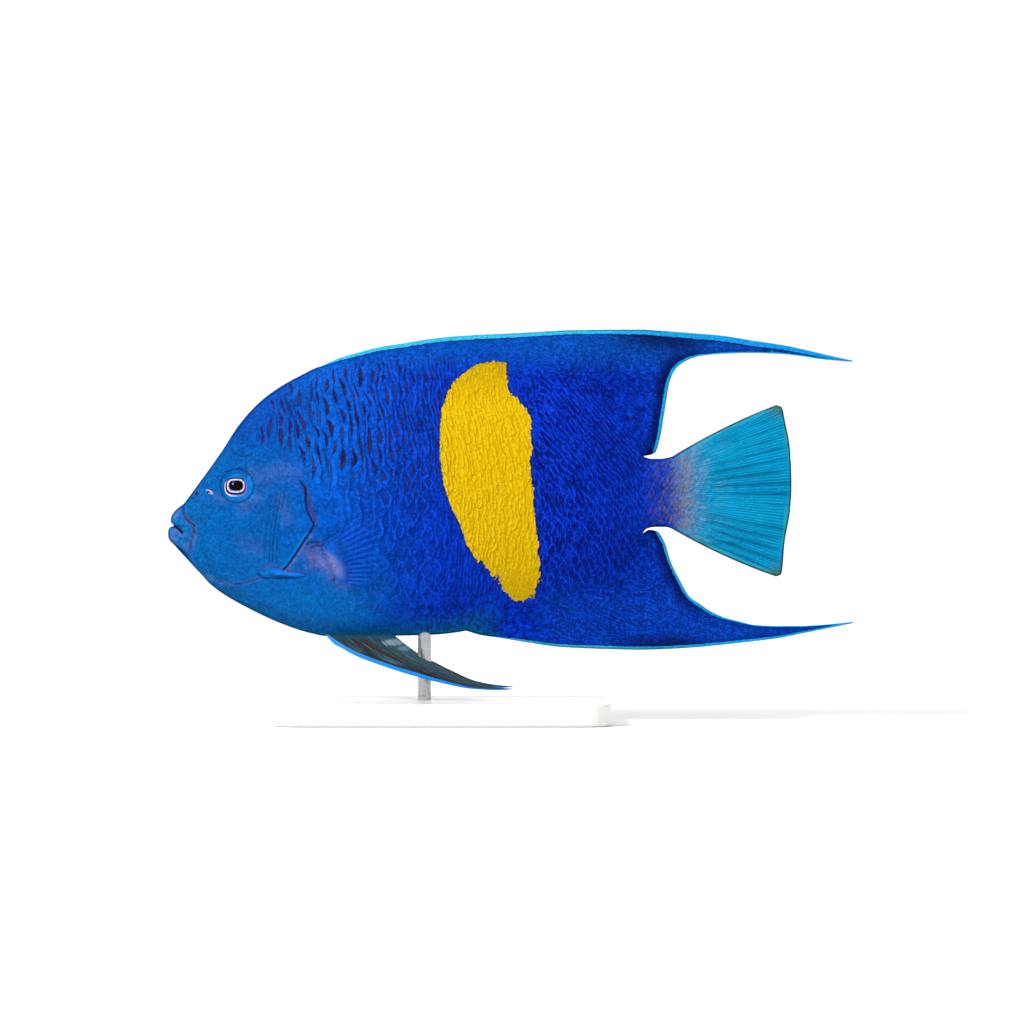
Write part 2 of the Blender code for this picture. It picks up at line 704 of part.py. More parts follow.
streamer("dorsal_fin_streamer", DORSAL_STREAMER_TOP, DORSAL_STREAMER_LOW)
streamer("anal_fin_streamer", ANAL_STREAMER_TOP, ANAL_STREAMER_LOW)


fin("tail_fin", web(tail_fin_root, along(TAIL_REAR), TAIL_RAY_BOW),
    lambda u: girth(tail_root(1 - 2 * u), 1 - 2 * u), TAIL_SKIN, TAIL_RAYS, 6)


# Paired fins: closed sheets on the left, with twins on the right

def pelvic_fin(name):
    lead, trail = along(PELVIC_LEAD), along(PELVIC_TRAIL)

    def spot(u, v):
        a, b = lead(v), trail(v)
        return mix(a[0], b[0], u), mix(a[1], b[1], u)

    near, far = [], []
    for column in ray_grid(PELVIC_RAYS, 10, span_of(spot)):
        near_line, far_line = [], []
        for u, v, rise in column:
            back, up = spot(u, v)
            side = PELVIC_OFFSET + PELVIC_SPLAY * (PELVIC_LEAD[0][1] - up)
            half = mix(PELVIC_ROOT, RIM, min(1.6 * v, 1.0) ** 0.6) + rise
            for line, face in ((near_line, side + half), (far_line, side - half)):
                line.append(place(back, -face, belly(back, face) - GAP if v == 0 else up))
        near.append(near_line)
        far.append(far_line)
    left = slab(name, near, far, DARK_FIN)
    return left, mirrored(left, name.replace("left", "right"))


def pectoral_fin(name):
    """Its root lies on the flank, and its blade turns back and out from there."""
    root = along(PECTORAL_ROOT_LINE)
    spot = web(root, along(PECTORAL_MARGIN))
    near, far = [], []
    for column in ray_grid(PECTORAL_RAYS, 6, span_of(spot)):
        near_line, far_line = [], []
        for u, v, rise in column:
            back, up = spot(u, v)
            half = mix(PECTORAL_ROOT, RIM, min(1.5 * v, 1.0) ** 0.7) + rise
            side = flank(*root(u)) + GAP + PECTORAL_SPREAD * v ** 0.9
            for line, turn in ((near_line, -half), (far_line, half)):
                at, out = back + 0.6 * turn, side - 0.8 * turn
                if v == 0:
                    at = back + turn
                    out = flank(at, up) + GAP
                line.append(place(at, -out, up))
        near.append(near_line)
        far.append(far_line)
    left = slab(name, near, far, CLEAR_FIN)
    return left, mirrored(left, name.replace("left", "right"))


pelvic_fin("pelvic_fin_left")
pectoral_fin("pectoral_fin_left")


# Stand: a flat base with rounded corners and one rod that ends inside the belly

def rod(name, radius, low, high, look, group):
    bpy.ops.mesh.primitive_cylinder_add(
        vertices=ROD_SIDES, radius=radius * MM, depth=(high - low) * MM,
        location=place(ROD_AT, 0, (low + high) / 2))
    return add_primitive(name, look, group)


rod_foot = BASE_SIZE[2] - ROD_IN_BASE
rod_head = belly_line(ROD_AT) + ROD_IN_BODY
rod("stand_rod", ROD_RADIUS, rod_foot + GAP, rod_head - GAP, STEEL, parts)
rod_cutters = new_group("Cut for the rod")
rod("rod_bore", ROD_RADIUS + GAP, rod_foot, rod_head, STEEL, rod_cutters)

bpy.ops.mesh.primitive_cube_add(size=1.0, location=place(BASE_MIDDLE, 0, BASE_SIZE[2] / 2))
base = add_primitive("stand_base", STAND_WHITE)
base.data.transform(Matrix.Diagonal((*(length * MM for length in BASE_SIZE), 1)))
shape = bmesh.new()
shape.from_mesh(base.data)
upright = [e for e in shape.edges if abs(e.verts[0].co.z - e.verts[1].co.z) > MM]
bmesh.ops.bevel(shape, geom=upright, offset=BASE_CORNER * MM, segments=6, affect="EDGES", profile=0.5)
shape.to_mesh(base.data)
shape.free()
edges = base.modifiers.new("Soft edge", "BEVEL")
edges.width = BASE_EDGE * MM
edges.segments = 2
edges.limit_method = "ANGLE"
cut(base, rod_cutters)
cut(trunk, rod_cutters)

for group in cutters.children:
    for cutter in group.objects:
        hide(cutter)
for node in parts.objects:
    node.data.shade_smooth()
    node.data.set_sharp_from_angle(angle=math.radians(35))
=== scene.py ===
# Yellowbar angelfish on its display stand: one skin, a coat of solid scales, fin rays,
# eyes and paired fins. Places are (back, up) in millimetres on the left side, with
# "back" measured from the lips towards the tail and "up" from the floor.
import math

import bpy
import numpy as np
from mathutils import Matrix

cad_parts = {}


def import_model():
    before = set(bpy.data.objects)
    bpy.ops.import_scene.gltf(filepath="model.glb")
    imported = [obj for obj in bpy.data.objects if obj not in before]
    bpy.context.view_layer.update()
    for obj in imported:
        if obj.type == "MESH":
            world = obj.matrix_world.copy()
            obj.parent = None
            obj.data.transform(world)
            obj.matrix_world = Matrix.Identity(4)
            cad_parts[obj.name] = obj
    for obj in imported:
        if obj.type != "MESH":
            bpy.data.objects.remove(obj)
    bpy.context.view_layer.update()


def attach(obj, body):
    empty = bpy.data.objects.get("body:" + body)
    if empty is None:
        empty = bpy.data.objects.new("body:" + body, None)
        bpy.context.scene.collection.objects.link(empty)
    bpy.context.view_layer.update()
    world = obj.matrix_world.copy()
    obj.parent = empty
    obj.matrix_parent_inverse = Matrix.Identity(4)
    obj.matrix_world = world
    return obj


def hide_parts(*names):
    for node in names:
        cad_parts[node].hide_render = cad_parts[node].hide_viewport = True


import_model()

middleBack = 181.5          # the model's origin, back from the lips
mm = 0.001
cameraAway, cameraUp = 2030.7, 111.3
rng = np.random.default_rng(7)

body = {
    "backLine": [
        (8.8, 115.6), (17.3, 127.2), (27.9, 142.0), (38.4, 157.9), (49.0, 169.5), (59.6, 177.4),
        (70.2, 183.3), (81.8, 188.5), (101.9, 191.2), (123.1, 192.2), (149.5, 192.8),
        (175.9, 190.7), (202.4, 184.8), (223.5, 176.4), (236.7, 166.3), (245.7, 154.2),
        (250.0, 145.2), (251.5, 140.9), (256.3, 139.4), (260.5, 139.4), (266.9, 140.6),
        (273.8, 144.0), (284.3, 149.2)],
    "bellyLine": [
        (4.6, 93.1), (5.7, 92.4), (7.2, 91.3), (8.8, 89.7), (10.4, 87.6), (12.0, 85.4),
        (13.6, 82.9), (15.2, 81.1), (17.3, 79.1), (22.6, 73.3), (30.5, 67.4), (43.7, 60.0),
        (59.6, 52.6), (75.5, 47.3), (86.0, 45.5), (117.8, 45.8), (138.9, 46.3), (154.8, 47.9),
        (175.9, 55.3), (202.4, 64.8), (228.8, 77.0), (243.6, 89.7), (250.0, 98.1), (251.5, 100.1),
        (253.1, 102.3), (257.9, 103.4), (263.2, 103.4), (268.5, 101.8), (276.4, 98.6),
        (284.3, 95.0)],
    "midLine": [
        (0.0, 99.0), (14.6, 103.0), (43.7, 111.3), (70.2, 115.0), (96.6, 117.7), (175.9, 117.7),
        (228.8, 120.3), (260.5, 121.5), (284.3, 122.2)],
    "halfWidth": [
        (0.0, 2.6), (4.1, 5.0), (9.4, 7.2), (17.3, 9.8), (27.9, 13.0), (38.4, 15.6), (49.0, 17.8),
        (59.6, 19.6), (70.2, 21.0), (91.3, 23.6), (123.0, 25.0), (144.0, 24.4), (165.4, 22.8),
        (186.5, 20.2), (207.7, 16.9), (228.8, 13.2), (250.0, 9.6), (258.0, 8.4), (271.0, 6.4),
        (284.3, 4.2)],
    "fullness": [(0.0, 2.1), (60.0, 2.2), (140.0, 2.4), (220.0, 2.4), (254.0, 2.0), (285.0, 2.0)],
    "topBluntness": [
        (0.0, 0.55), (60.0, 0.56), (82.0, 0.66), (130.0, 0.98), (170.0, 1.15), (230.0, 1.1),
        (248.0, 0.8), (256.0, 0.6), (285.0, 0.6)],
    "lowBluntness": [
        (0.0, 0.55), (60.0, 0.56), (125.0, 0.62), (150.0, 0.78), (180.0, 1.1), (230.0, 1.1),
        (248.0, 0.8), (256.0, 0.6), (285.0, 0.6)],
    "dorsalRoot": [
        (0.0, 0.25), (78.0, 0.25), (90.0, 1.1), (110.0, 2.1), (150.0, 3.0), (200.0, 3.4),
        (238.0, 3.0), (250.0, 2.0), (254.0, 0.6), (285.0, 0.4)],
    "analRoot": [
        (0.0, 0.25), (148.0, 0.25), (158.0, 1.0), (180.0, 2.6), (210.0, 3.2), (238.0, 2.8),
        (250.0, 2.0), (254.0, 0.6), (285.0, 0.4)],
    "front": [      # the lips from below, as (up, back)
        (92.8, 4.6), (93.5, 4.2), (96.3, 1.3), (98.4, 0.5), (100.8, 0.4), (103.2, 1.5),
        (104.1, 3.5), (104.6, 3.0), (106.6, 1.9), (108.6, 2.1), (112.4, 4.6), (115.0, 7.9),
        (115.6, 8.8)],
}
fins = {
    "dorsalEdge": [
        (70.2, 183.3), (75.5, 185.9), (80.7, 188.1), (86.0, 190.6), (91.3, 192.8),
        (101.9, 195.9), (112.5, 198.6), (123.1, 200.2), (138.9, 202.8), (154.8, 204.4),
        (186.5, 206.0), (218.2, 207.6), (250.0, 207.8),
        (263.2, 207.0), (276.4, 206.0), (292.3, 204.7), (310.8, 201.8), (326.6, 199.4),
        (342.5, 195.9), (355.7, 192.8), (362.1, 191.5)],
    "dorsalRear": [
        (251.5, 140.9), (254.5, 141.3), (257.9, 142.6), (260.5, 149.9), (263.2, 165.8),
        (265.8, 180.6), (268.5, 186.4), (271.1, 189.1), (276.4, 192.2), (281.7, 193.8),
        (292.3, 194.9), (308.1, 195.4), (324.0, 194.9), (334.6, 193.8), (345.1, 192.2),
        (355.7, 191.2), (362.1, 190.7)],
    "analEdge": [
        (158.4, 48.5), (165.4, 46.3), (175.9, 44.7), (191.8, 42.1), (207.7, 39.9), (228.8, 38.9),
        (250.0, 38.4), (265.8, 38.9), (281.7, 39.9), (288.0, 40.5), (302.8, 42.1), (324.0, 44.7),
        (334.6, 46.8), (345.1, 48.9), (355.7, 51.1), (362.6, 52.5)],
    "analRear": [
        (251.5, 100.1), (255.0, 101.9), (259.0, 101.1), (263.2, 94.9), (265.8, 86.5),
        (268.5, 80.1), (271.1, 75.4), (273.8, 70.1), (276.4, 66.4), (281.7, 62.7), (288.0, 58.5),
        (294.9, 55.5), (302.8, 53.4), (310.8, 51.6), (321.4, 51.1), (334.6, 51.1), (345.1, 51.6),
        (358.4, 52.8), (362.6, 53.2)],
    "tailTop": [
        (251.5, 140.9), (256.3, 139.4), (260.5, 139.4), (266.9, 140.6), (280.7, 148.6),
        (294.5, 155.9), (308.3, 162.3), (318.0, 166.6), (322.1, 167.9), (324.9, 166.9),
        (326.6, 159.5), (329.3, 144.6), (330.1, 125.6)],
    "tailLow": [
        (251.5, 100.1), (253.1, 102.3), (257.9, 103.4), (263.2, 103.4), (266.9, 102.4),
        (280.7, 94.9), (294.4, 88.2), (308.2, 82.3), (318.0, 78.6), (321.9, 77.2), (324.6, 78.2),
        (326.6, 96.5), (329.3, 111.9), (330.1, 125.6)],
    "tailApex": (226.8, 120.8), "tailSlope": 0.4946, "tailRoot": (266.9, 17.4), "tailBow": 1.6,
    "tailRays": 16, "dorsalTip": 362.1, "analTip": 362.6, "tailTip": 330.1, "split": 251.5,
    "dorsalStart": 70.2, "analStart": 158.4, "rim": 0.28, "thinning": 1.6,
}
fins["tailRear"] = fins["tailTop"][-5:] + fins["tailLow"][-2:-6:-1]


def smoothLine(points):
    # a function of one number through the points, without overshoot
    xs, ys = np.array(points, float).T
    steps = np.diff(ys) / np.diff(xs)
    both = steps[:-1] * steps[1:]
    slopes = np.empty(len(xs))
    slopes[0], slopes[-1] = steps[0], steps[-1]
    slopes[1:-1] = np.where(both > 0, 2 * both / np.where(both > 0, steps[:-1] + steps[1:], 1), 0)

    def value(x):
        x = np.clip(x, xs[0], xs[-1])
        i = np.clip(np.searchsorted(xs, x, side="right") - 1, 0, len(xs) - 2)
        width = xs[i + 1] - xs[i]
        t = (x - xs[i]) / width
        rise = (1 - t) ** 2 * (ys[i] * (1 + 2 * t) + slopes[i] * width * t)
        return rise + t * t * (ys[i + 1] * (3 - 2 * t) - slopes[i + 1] * width * (1 - t))

    return value


def walk(points, count):
    # points at an even pace along a smooth line
    points = np.array(points, float)
    reach = np.r_[0, np.cumsum(np.linalg.norm(np.diff(points, axis=0), axis=1))]
    at = np.linspace(0, reach[-1], count) if np.isscalar(count) else np.asarray(count) * reach[-1]
    return np.stack([smoothLine(list(zip(reach, points[:, k])))(at)
                     for k in range(points.shape[1])], 1)


def fade(x, low, high):
    t = np.clip((x - low) / (high - low), 0, 1)
    return t * t * (3 - 2 * t)


def mix(a, b, t):
    return a + (b - a) * t


def lineDistance(back, up, points):
    # distance of places from a chain of points
    best = np.full(np.shape(back), 1e9)
    for (ax, ay), (bx, by) in zip(points[:-1], points[1:]):
        dx, dy = bx - ax, by - ay
        t = np.clip(((back - ax) * dx + (up - ay) * dy) / max(dx * dx + dy * dy, 1e-9), 0, 1)
        best = np.minimum(best, (back - ax - t * dx) ** 2 + (up - ay - t * dy) ** 2)
    return np.sqrt(best)


def insideOf(back, up, points):
    inside = np.zeros(np.shape(back), bool)
    for (ax, ay), (bx, by) in zip(points, list(points[1:]) + [points[0]]):
        if ay == by:
            continue
        crosses = (up > min(ay, by)) & (up <= max(ay, by))
        inside ^= crosses & (back < ax + (up - ay) * (bx - ax) / (by - ay))
    return inside


line = {name: smoothLine(points) for name, points in body.items()}
edge = {name: smoothLine(fins[name]) for name in
        ("dorsalEdge", "dorsalRear", "analEdge", "analRear", "tailTop", "tailLow")}


def topEdge(back):
    fin = np.maximum(edge["dorsalEdge"](back), line["backLine"](back))
    return np.where(back < fins["dorsalStart"], line["backLine"](back), fin)


def lowEdge(back):
    fin = np.minimum(edge["analEdge"](back), line["bellyLine"](back))
    return np.where(back < fins["analStart"], line["bellyLine"](back), fin)


def beyond(function, at, other, sign):
    # distance from a line given over its run, with its slope allowed for
    slope = (function(at + 0.2) - function(at - 0.2)) / 0.4
    return sign * (function(at) - other) / np.sqrt(1 + slope * slope)


def outlineDistance(back, up):
    # how far a place lies inside the outline seen from the side
    least = np.minimum
    main = least(beyond(topEdge, back, up, 1), beyond(lowEdge, back, up, -1))
    lips = (up > 92.8) & (up < 115.6)
    main = np.where(lips, least(main, beyond(line["front"], up, back, -1)), main)
    dorsal = least(beyond(topEdge, back, up, 1), beyond(edge["dorsalRear"], back, up, -1))
    dorsal = least(dorsal, fins["dorsalTip"] - back)
    anal = least(beyond(edge["analRear"], back, up, 1), beyond(lowEdge, back, up, -1))
    anal = least(anal, fins["analTip"] - back)
    tail = least(beyond(edge["tailTop"], back, up, 1), beyond(edge["tailLow"], back, up, -1))
    tail = least(tail, fins["tailTip"] - back)
    lobes = np.maximum(np.maximum(dorsal, anal), tail)
    return np.where(back < fins["split"] - 1e-6, main, lobes)


dorsalRootLine = [(b, float(line["backLine"](b))) for b in np.arange(72, 251, 3.5)]
analRootLine = [(b, float(line["bellyLine"](b))) for b in np.arange(158, 252, 3.3)]
dorsalSpan = smoothLine([(72, 0.8), (86, 2.4), (101.9, 4.9), (130, 9.5), (175, 15.5), (200, 21),
                         (223.5, 31), (237, 42), (250, 60)])
analSpan = smoothLine([(158, 1.5), (176, 10.5), (200, 24), (228, 38), (251, 60)])


def girth(back, level, upper):
    root = np.where(upper, line["dorsalRoot"](back), line["analRoot"](back))
    blunt = np.where(upper, line["topBluntness"](back), line["lowBluntness"](back))
    part = np.clip(1 - np.minimum(level, 1) ** line["fullness"](back), 0, 1)
    return root + (line["halfWidth"](back) - root) * part ** blunt


def fanLevel(back, up):
    # from -1 to 1 across the tail fin, by the ray that a place lies on
    apex = fins["tailApex"]
    return (up - apex[1]) / np.maximum(back - apex[0], 5) / fins["tailSlope"]


def tailRootBack(level):
    # where the tail fin begins, by the place across the fan
    return fins["tailRoot"][0] + fins["tailRoot"][1] * np.clip(1 - level ** 2, 0, 1)


def levelUp(back, level):
    # from the belly's line at -1 to the back's line at 1
    m = line["midLine"](back)
    return np.where(level > 0, m + level * (line["backLine"](back) - m),
                    m + level * (m - line["bellyLine"](back)))


def bendLine(start, control, end, count=9):
    t = np.linspace(0, 1, count)[:, None]
    start, control, end = (np.array(p, float) for p in (start, control, end))
    return (1 - t) ** 2 * start + 2 * t * (1 - t) * control + t * t * end


def reaching(roots, points):
    # pairs of a ray's root and end, both as distances back
    reach = smoothLine(points)
    return [(b, float(reach(b))) for b in roots]


# Rays inside the dorsal and anal fins, from the body's edge to the margin
longBend, shortBend = (0.3, 0.86), (0.4, 0.7)       # where a ray bends, as shares of its run
finRays = []
for pairs, bodyLine, rootIn, margin, marginIn, bendAt in (
        (reaching(np.r_[np.arange(82, 140, 5.2), np.arange(142, 240, 4.1)],
                  [(80, 83), (110, 120), (150, 170), (190, 224), (214, 266), (228, 304), (240, 356)]),
         "backLine", -2.5, topEdge, -0.4, longBend),
        ([(242, 290), (244, 277), (246, 270), (248, 266.5), (250, 264)],
         "backLine", -2, edge["dorsalRear"], 0.5, shortBend),
        (reaching(np.arange(160, 241, 4.2),
                  [(158, 163), (180, 200), (200, 236), (216, 272), (230, 316), (240, 356)]),
         "bellyLine", 2.5, lowEdge, 0.4, longBend),
        ([(242, 288), (245, 276), (248, 268)], "bellyLine", 2, edge["analRear"], -0.5, shortBend)):
    for b, e in pairs:
        root, tip = (b, float(line[bodyLine](b)) + rootIn), (e, float(margin(e)) + marginIn)
        finRays.append(bendLine(root, [mix(root[k], tip[k], bendAt[k]) for k in (0, 1)], tip))


def finHalf(back, up, root, rootHalf, span):
    # half thickness of a fin, from its distance off the body
    far = np.full(np.shape(back), 1e9)
    foot = np.zeros(np.shape(back))
    for (ax, ay), (bx, by) in zip(root[:-1], root[1:]):
        dx, dy = bx - ax, by - ay
        t = np.clip(((back - ax) * dx + (up - ay) * dy) / (dx * dx + dy * dy), 0, 1)
        d = (back - ax - t * dx) ** 2 + (up - ay - t * dy) ** 2
        foot = np.where(d < far, ax + t * dx, foot)
        far = np.minimum(far, d)
    v = np.clip(np.sqrt(far) / span(foot), 0, 1)
    return mix(fins["rim"], np.maximum(rootHalf(foot), fins["rim"]), (1 - v) ** fins["thinning"])


def fleshHalf(back, up):
    # half thickness of body and fins, before the outline is rounded
    mid = line["midLine"](back)
    upper, behind = up > mid, back >= fins["split"]
    end = np.where(upper, line["backLine"](back), line["bellyLine"](back))
    level = np.abs((up - mid) / (end - mid))
    half = girth(back, level, upper)
    overBack = upper & (((level > 1) & (back > 72)) | (behind & (up > edge["tailTop"](back) + 0.2)))
    underBelly = ~upper & (((level > 1) & (back > 158)) | (behind & (up < edge["tailLow"](back) - 0.2)))
    for where, root, rootHalf, span in (
            (overBack, dorsalRootLine, line["dorsalRoot"], dorsalSpan),
            (underBelly, analRootLine, line["analRoot"], analSpan)):
        if np.any(where):
            half[where] = finHalf(back[where], up[where], root, rootHalf, span)
    fan = fanLevel(back, up)
    rootBack = tailRootBack(fan)
    rearBack = fins["tailTip"] - 8.0 * np.minimum(np.abs(fan), 1) ** 3
    v = np.clip((back - rootBack) / (rearBack - rootBack), 0, 1)
    fromRoot = girth(rootBack, np.abs(fan), fan > 0)
    tail = mix(fins["rim"], np.maximum(fromRoot, fins["rim"]), (1 - v) ** fins["thinning"])
    onTail = (back > rootBack) & (back > 262) & ~overBack & ~underBelly
    return np.where(onTail, tail, half)


# Lines and pits of the head, as (points, half width, height); a groove is negative
eye = {"at": (36.4, 124.8), "radius": 7.4, "bulge": 4.8, "sink": 2.2, "aperture": (6.2, 4.95),
       "apertureAt": (36.2, 124.1), "orbitAt": (36.9, 125.2), "orbit": 8.85, "swell": 0.22, "lidOut": 0.12}
gillEdge = walk([(70.2, 128.0), (71.6, 125.9), (73.1, 123.4), (73.3, 118.4), (73.6, 114.3),
                 (74.6, 110.8), (76.1, 107.4), (77.5, 105.0), (76.6, 102.6), (74.9, 99.7),
                 (71.9, 95.4), (68.8, 90.4), (65.8, 86.0), (63.5, 82.9), (61.4, 80.9)], 40)
mouthLine = walk([(2.2, 104.5), (3.4, 103.9), (4.8, 103.1), (6.5, 102.0), (7.9, 100.6)], 12)
upperFold = walk([(8.3, 115.4), (8.5, 113.0), (9.0, 110.3), (9.5, 108.6), (10.7, 106.9),
                  (12.2, 105.6), (13.6, 105.0), (14.3, 104.2)], 16)
lowerFold = walk([(14.3, 104.2), (14.5, 102.9), (14.3, 101.3), (13.6, 99.1), (13.0, 97.1),
                  (12.5, 95.4), (11.9, 92.0), (11.4, 88.6)], 16)
outerFold = walk([(12.5, 93.4), (13.7, 94.2), (14.8, 96.4), (15.5, 98.8)], 8)
throatLine = walk([(20.3, 77.5), (27.3, 74.1), (34.0, 73.2), (40.6, 73.8), (45.0, 75.0),
                   (49.0, 76.4)], 16)
browLine = walk([(33.4, 146.2), (34.6, 143.4), (37.9, 141.2), (41.0, 140.9), (44.9, 142.0)], 10)
preopercle = walk([(57.3, 121.5), (55.9, 113.3), (54.7, 107.2), (53.9, 101.2), (53.2, 94.0),
                   (53.0, 85.0)], 16)
orbit = [(eye["orbitAt"][0] + eye["orbit"] * math.cos(t), eye["orbitAt"][1] + eye["orbit"] * math.sin(t))
         for t in np.linspace(0, 2 * math.pi, 41)]
spineTop = walk([(49.6, 82.2), (52.9, 83.0), (57.5, 81.5), (62.2, 80.3), (68.8, 79.3), (72.6, 78.2)], 14)
spineLow = walk([(48.1, 78.6), (49.4, 77.3), (51.3, 76.4), (58.7, 76.2), (66.8, 76.5), (73.0, 77.8)], 14)
finSlit = walk([(73.8, 94.4), (76.5, 95.3), (80.2, 95.4)], 6)
finSlitLow = walk([(72.6, 91.6), (75.6, 92.2), (79.0, 93.6), (82.9, 93.7)], 8)
lowFold = walk([(86.8, 77.2), (89.2, 74.4), (93.1, 72.7)], 6)
finUpper = walk([(80.96, 95.25), (85.3, 97.8), (89.1, 99.8), (91.8, 103.5)], 10)
creases = [
    (mouthLine, 0.55, -2.0), (upperFold, 0.55, -0.7), (lowerFold, 0.6, -0.65),
    (outerFold, 0.5, -0.25), (throatLine, 0.6, -0.35), (browLine, 0.7, -0.25),
    (walk([(29.2, 136.4), (30.4, 134.8), (32.0, 133.6)], 6), 0.6, -0.3),
    (gillEdge, 0.5, -0.9), (spineLow, 0.6, -0.5), (spineTop, 0.5, -0.3), (finSlit, 0.6, -0.5),
    (finSlitLow, 0.6, -0.4), (lowFold, 0.6, -0.35),
]
openCreases = len(creases)
for shift, height in ((-2.6, 0.16), (0.0, 0.28), (1.9, 0.24), (3.6, 0.14)):
    creases.append((preopercle + [shift, 0], 0.55, height))
    creases.append((preopercle + [shift + 0.95, 0], 0.45, -0.2))
pits = [(15.7, 120.9, 0.9, -1.2), (22.1, 122.0, 0.8, -0.9)]


def seen(back, up, half):
    # where the photo shows a place that lies nearer to the camera by half
    grow = 1 + half / cameraAway
    return middleBack + (back - middleBack) * grow, cameraUp + (up - cameraUp) * grow


def unseen(points, half):
    # the other way round, for an array of (back, up)
    return mix([middleBack, cameraUp], points, (1 - half / cameraAway)[:, None])


def placed(points):
    # places on the flank, from where the photo shows them
    points = np.asarray(points, float)
    return unseen(points, fleshHalf(points[:, 0], points[:, 1]))


def relief(back, up, half):
    rise = np.zeros(np.shape(back))
    near = back < 100
    b, u = seen(back[near], up[near], half[near])
    h = np.zeros(len(b))
    for points, width, height in creases:
        h += height * np.exp(-(lineDistance(b, u, points) / width) ** 2)
    for pb, pu, radius, depth in pits:
        d = np.hypot(b - pb, u - pu)
        h += depth * np.exp(-(d / radius) ** 4) + 0.3 * np.exp(-((d - radius * 1.45) / 0.5) ** 2)
    # lips are fuller than the snout behind them
    lipBack = np.interp(u, [86, 92, 96, 99, 103.5, 105.1, 106.3, 109, 114, 116],
                        [11.5, 12.4, 12.6, 13.6, 14.6, 13.8, 11.0, 9.2, 8.3, 8.3])
    h += 0.8 * fade(lipBack - b, 0.2, 2.4)
    # the gill cover stands proud in front of its free edge
    gillBack = np.interp(u, [80.7, 84.5, 92.1, 95.8, 102.3, 104.5, 109.2, 116.1, 120.1, 124, 127.7],
                         [61.2, 63.8, 69.9, 72, 76.5, 77.7, 75.5, 73.3, 73.1, 72.5, 69.6])
    ahead = gillBack - b
    span = fade(u, 79, 86) * fade(131 - u, 0, 8)
    h += 0.65 * span * fade(ahead, -0.3, 0.6) * fade(16 - ahead, 0, 13)
    # eye: a sunken well inside a raised lid, then the groove round the orbit
    ex = (b - eye["apertureAt"][0]) / eye["aperture"][0]
    ey = (u - eye["apertureAt"][1]) / eye["aperture"][1]
    e = (np.abs(ex) ** 2.4 + np.abs(ey) ** 2.4) ** (1 / 2.4)
    h += 0.95 * fade(e, 0.9, 1.08) * fade(1.6 - e, 0, 0.5) - 3.0 * fade(1.02 - e, 0.0, 0.14)
    ring = np.hypot(b - eye["orbitAt"][0], u - eye["orbitAt"][1]) - eye["orbit"]
    h += 0.16 * np.exp(-((ring - 1.35) / 0.9) ** 2) - 0.32 * np.exp(-(ring / 0.55) ** 2)
    # the fleshy root of the pectoral fin
    pb, pu = b - 83.0, u - 82.5
    lobe = np.hypot((pb * 0.93 + pu * 0.37) / 8.5, (pu * 0.93 - pb * 0.37) / 10.5)
    h += 0.8 * fade(1.15 - lobe, 0, 0.75)
    rise[near] = h
    # rays under the scales of the dorsal and anal fins
    onFin = (back > 78) & ((up > line["backLine"](back) - 3) | (up < line["bellyLine"](back) + 3))
    onFin &= (back < 251) | (up > edge["tailTop"](back)) | (up < edge["tailLow"](back))
    if np.any(onFin):
        b, u = back[onFin], up[onFin]
        h = np.zeros(len(b))
        for ray in finRays:
            near = (b > ray[:, 0].min() - 3) & (b < ray[:, 0].max() + 3)
            near &= (u > ray[:, 1].min() - 3) & (u < ray[:, 1].max() + 3)
            h[near] = np.maximum(h[near], np.exp(-(lineDistance(b[near], u[near], ray) / 0.75) ** 2))
        rise[onFin] += 0.16 * h * fade(outlineDistance(b, u), 2.0, 5.0)
    return rise


def coatDepth(back):
    return mix(0.15, 0.42, fade(back, 70, 92) * fade(262 - back, 0, 12))


def skinHalf(back, up):
    # half thickness of the skin, which lies inside the coat by the coat's depth
    inner = outlineDistance(back, up)
    half = fleshHalf(back, up)
    reach = np.minimum(half, mix(4.0, 1.1, fade(back, 6, 18)))
    reach = np.maximum(reach, 0.3)
    rounded = np.sqrt(np.clip(1 - (1 - np.clip(inner / reach, 0, 1)) ** 2, 0, 1))
    extra = relief(back, up, half) * fade(inner, 0.2, 2.2)
    extra = extra - coatDepth(back) * fade(inner, 0.0, 3.0) * fade(half, 0.4, 1.6)
    return np.maximum(half * rounded + extra, 0.06) * (inner > 1e-4)


def world(back, side, up):
    return np.stack([back - middleBack, side, up], -1) * mm


def onSide(points, side):
    # (back, out, up) points on the left side, -1, or the right side, 1
    return world(points[:, 0], side * points[:, 1], points[:, 2])

# Small tools for objects

def activate(thing):
    bpy.ops.object.select_all(action="DESELECT")
    thing.select_set(True)
    bpy.context.view_layer.objects.active = thing


def addObject(name, points, faces, material=None):
    mesh = bpy.data.meshes.new(name)
    mesh.from_pydata(np.asarray(points).tolist(), [], [tuple(f) for f in faces])
    thing = bpy.data.objects.new(name, mesh)
    bpy.context.scene.collection.objects.link(thing)
    if material:
        mesh.materials.append(material)
    return thing


def cleanMesh(thing, merge=0.0):
    activate(thing)
    bpy.ops.object.mode_set(mode="EDIT")
    bpy.ops.mesh.select_all(action="SELECT")
    if merge:
        bpy.ops.mesh.remove_doubles(threshold=merge)
    bpy.ops.mesh.normals_make_consistent(inside=False)
    bpy.ops.object.mode_set(mode="OBJECT")


def smoothShade(thing, degrees):
    activate(thing)
    bpy.ops.object.shade_smooth_by_angle(angle=math.radians(degrees))


def placesOf(mesh):
    co = np.empty(len(mesh.vertices) * 3, np.float32)
    mesh.vertices.foreach_get("co", co)
    return co.reshape(-1, 3).astype(float)


def setAttribute(mesh, name, values):
    attribute = mesh.attributes.get(name) or mesh.attributes.new(name, "FLOAT", "POINT")
    attribute.data.foreach_set("value", np.asarray(values, np.float32))


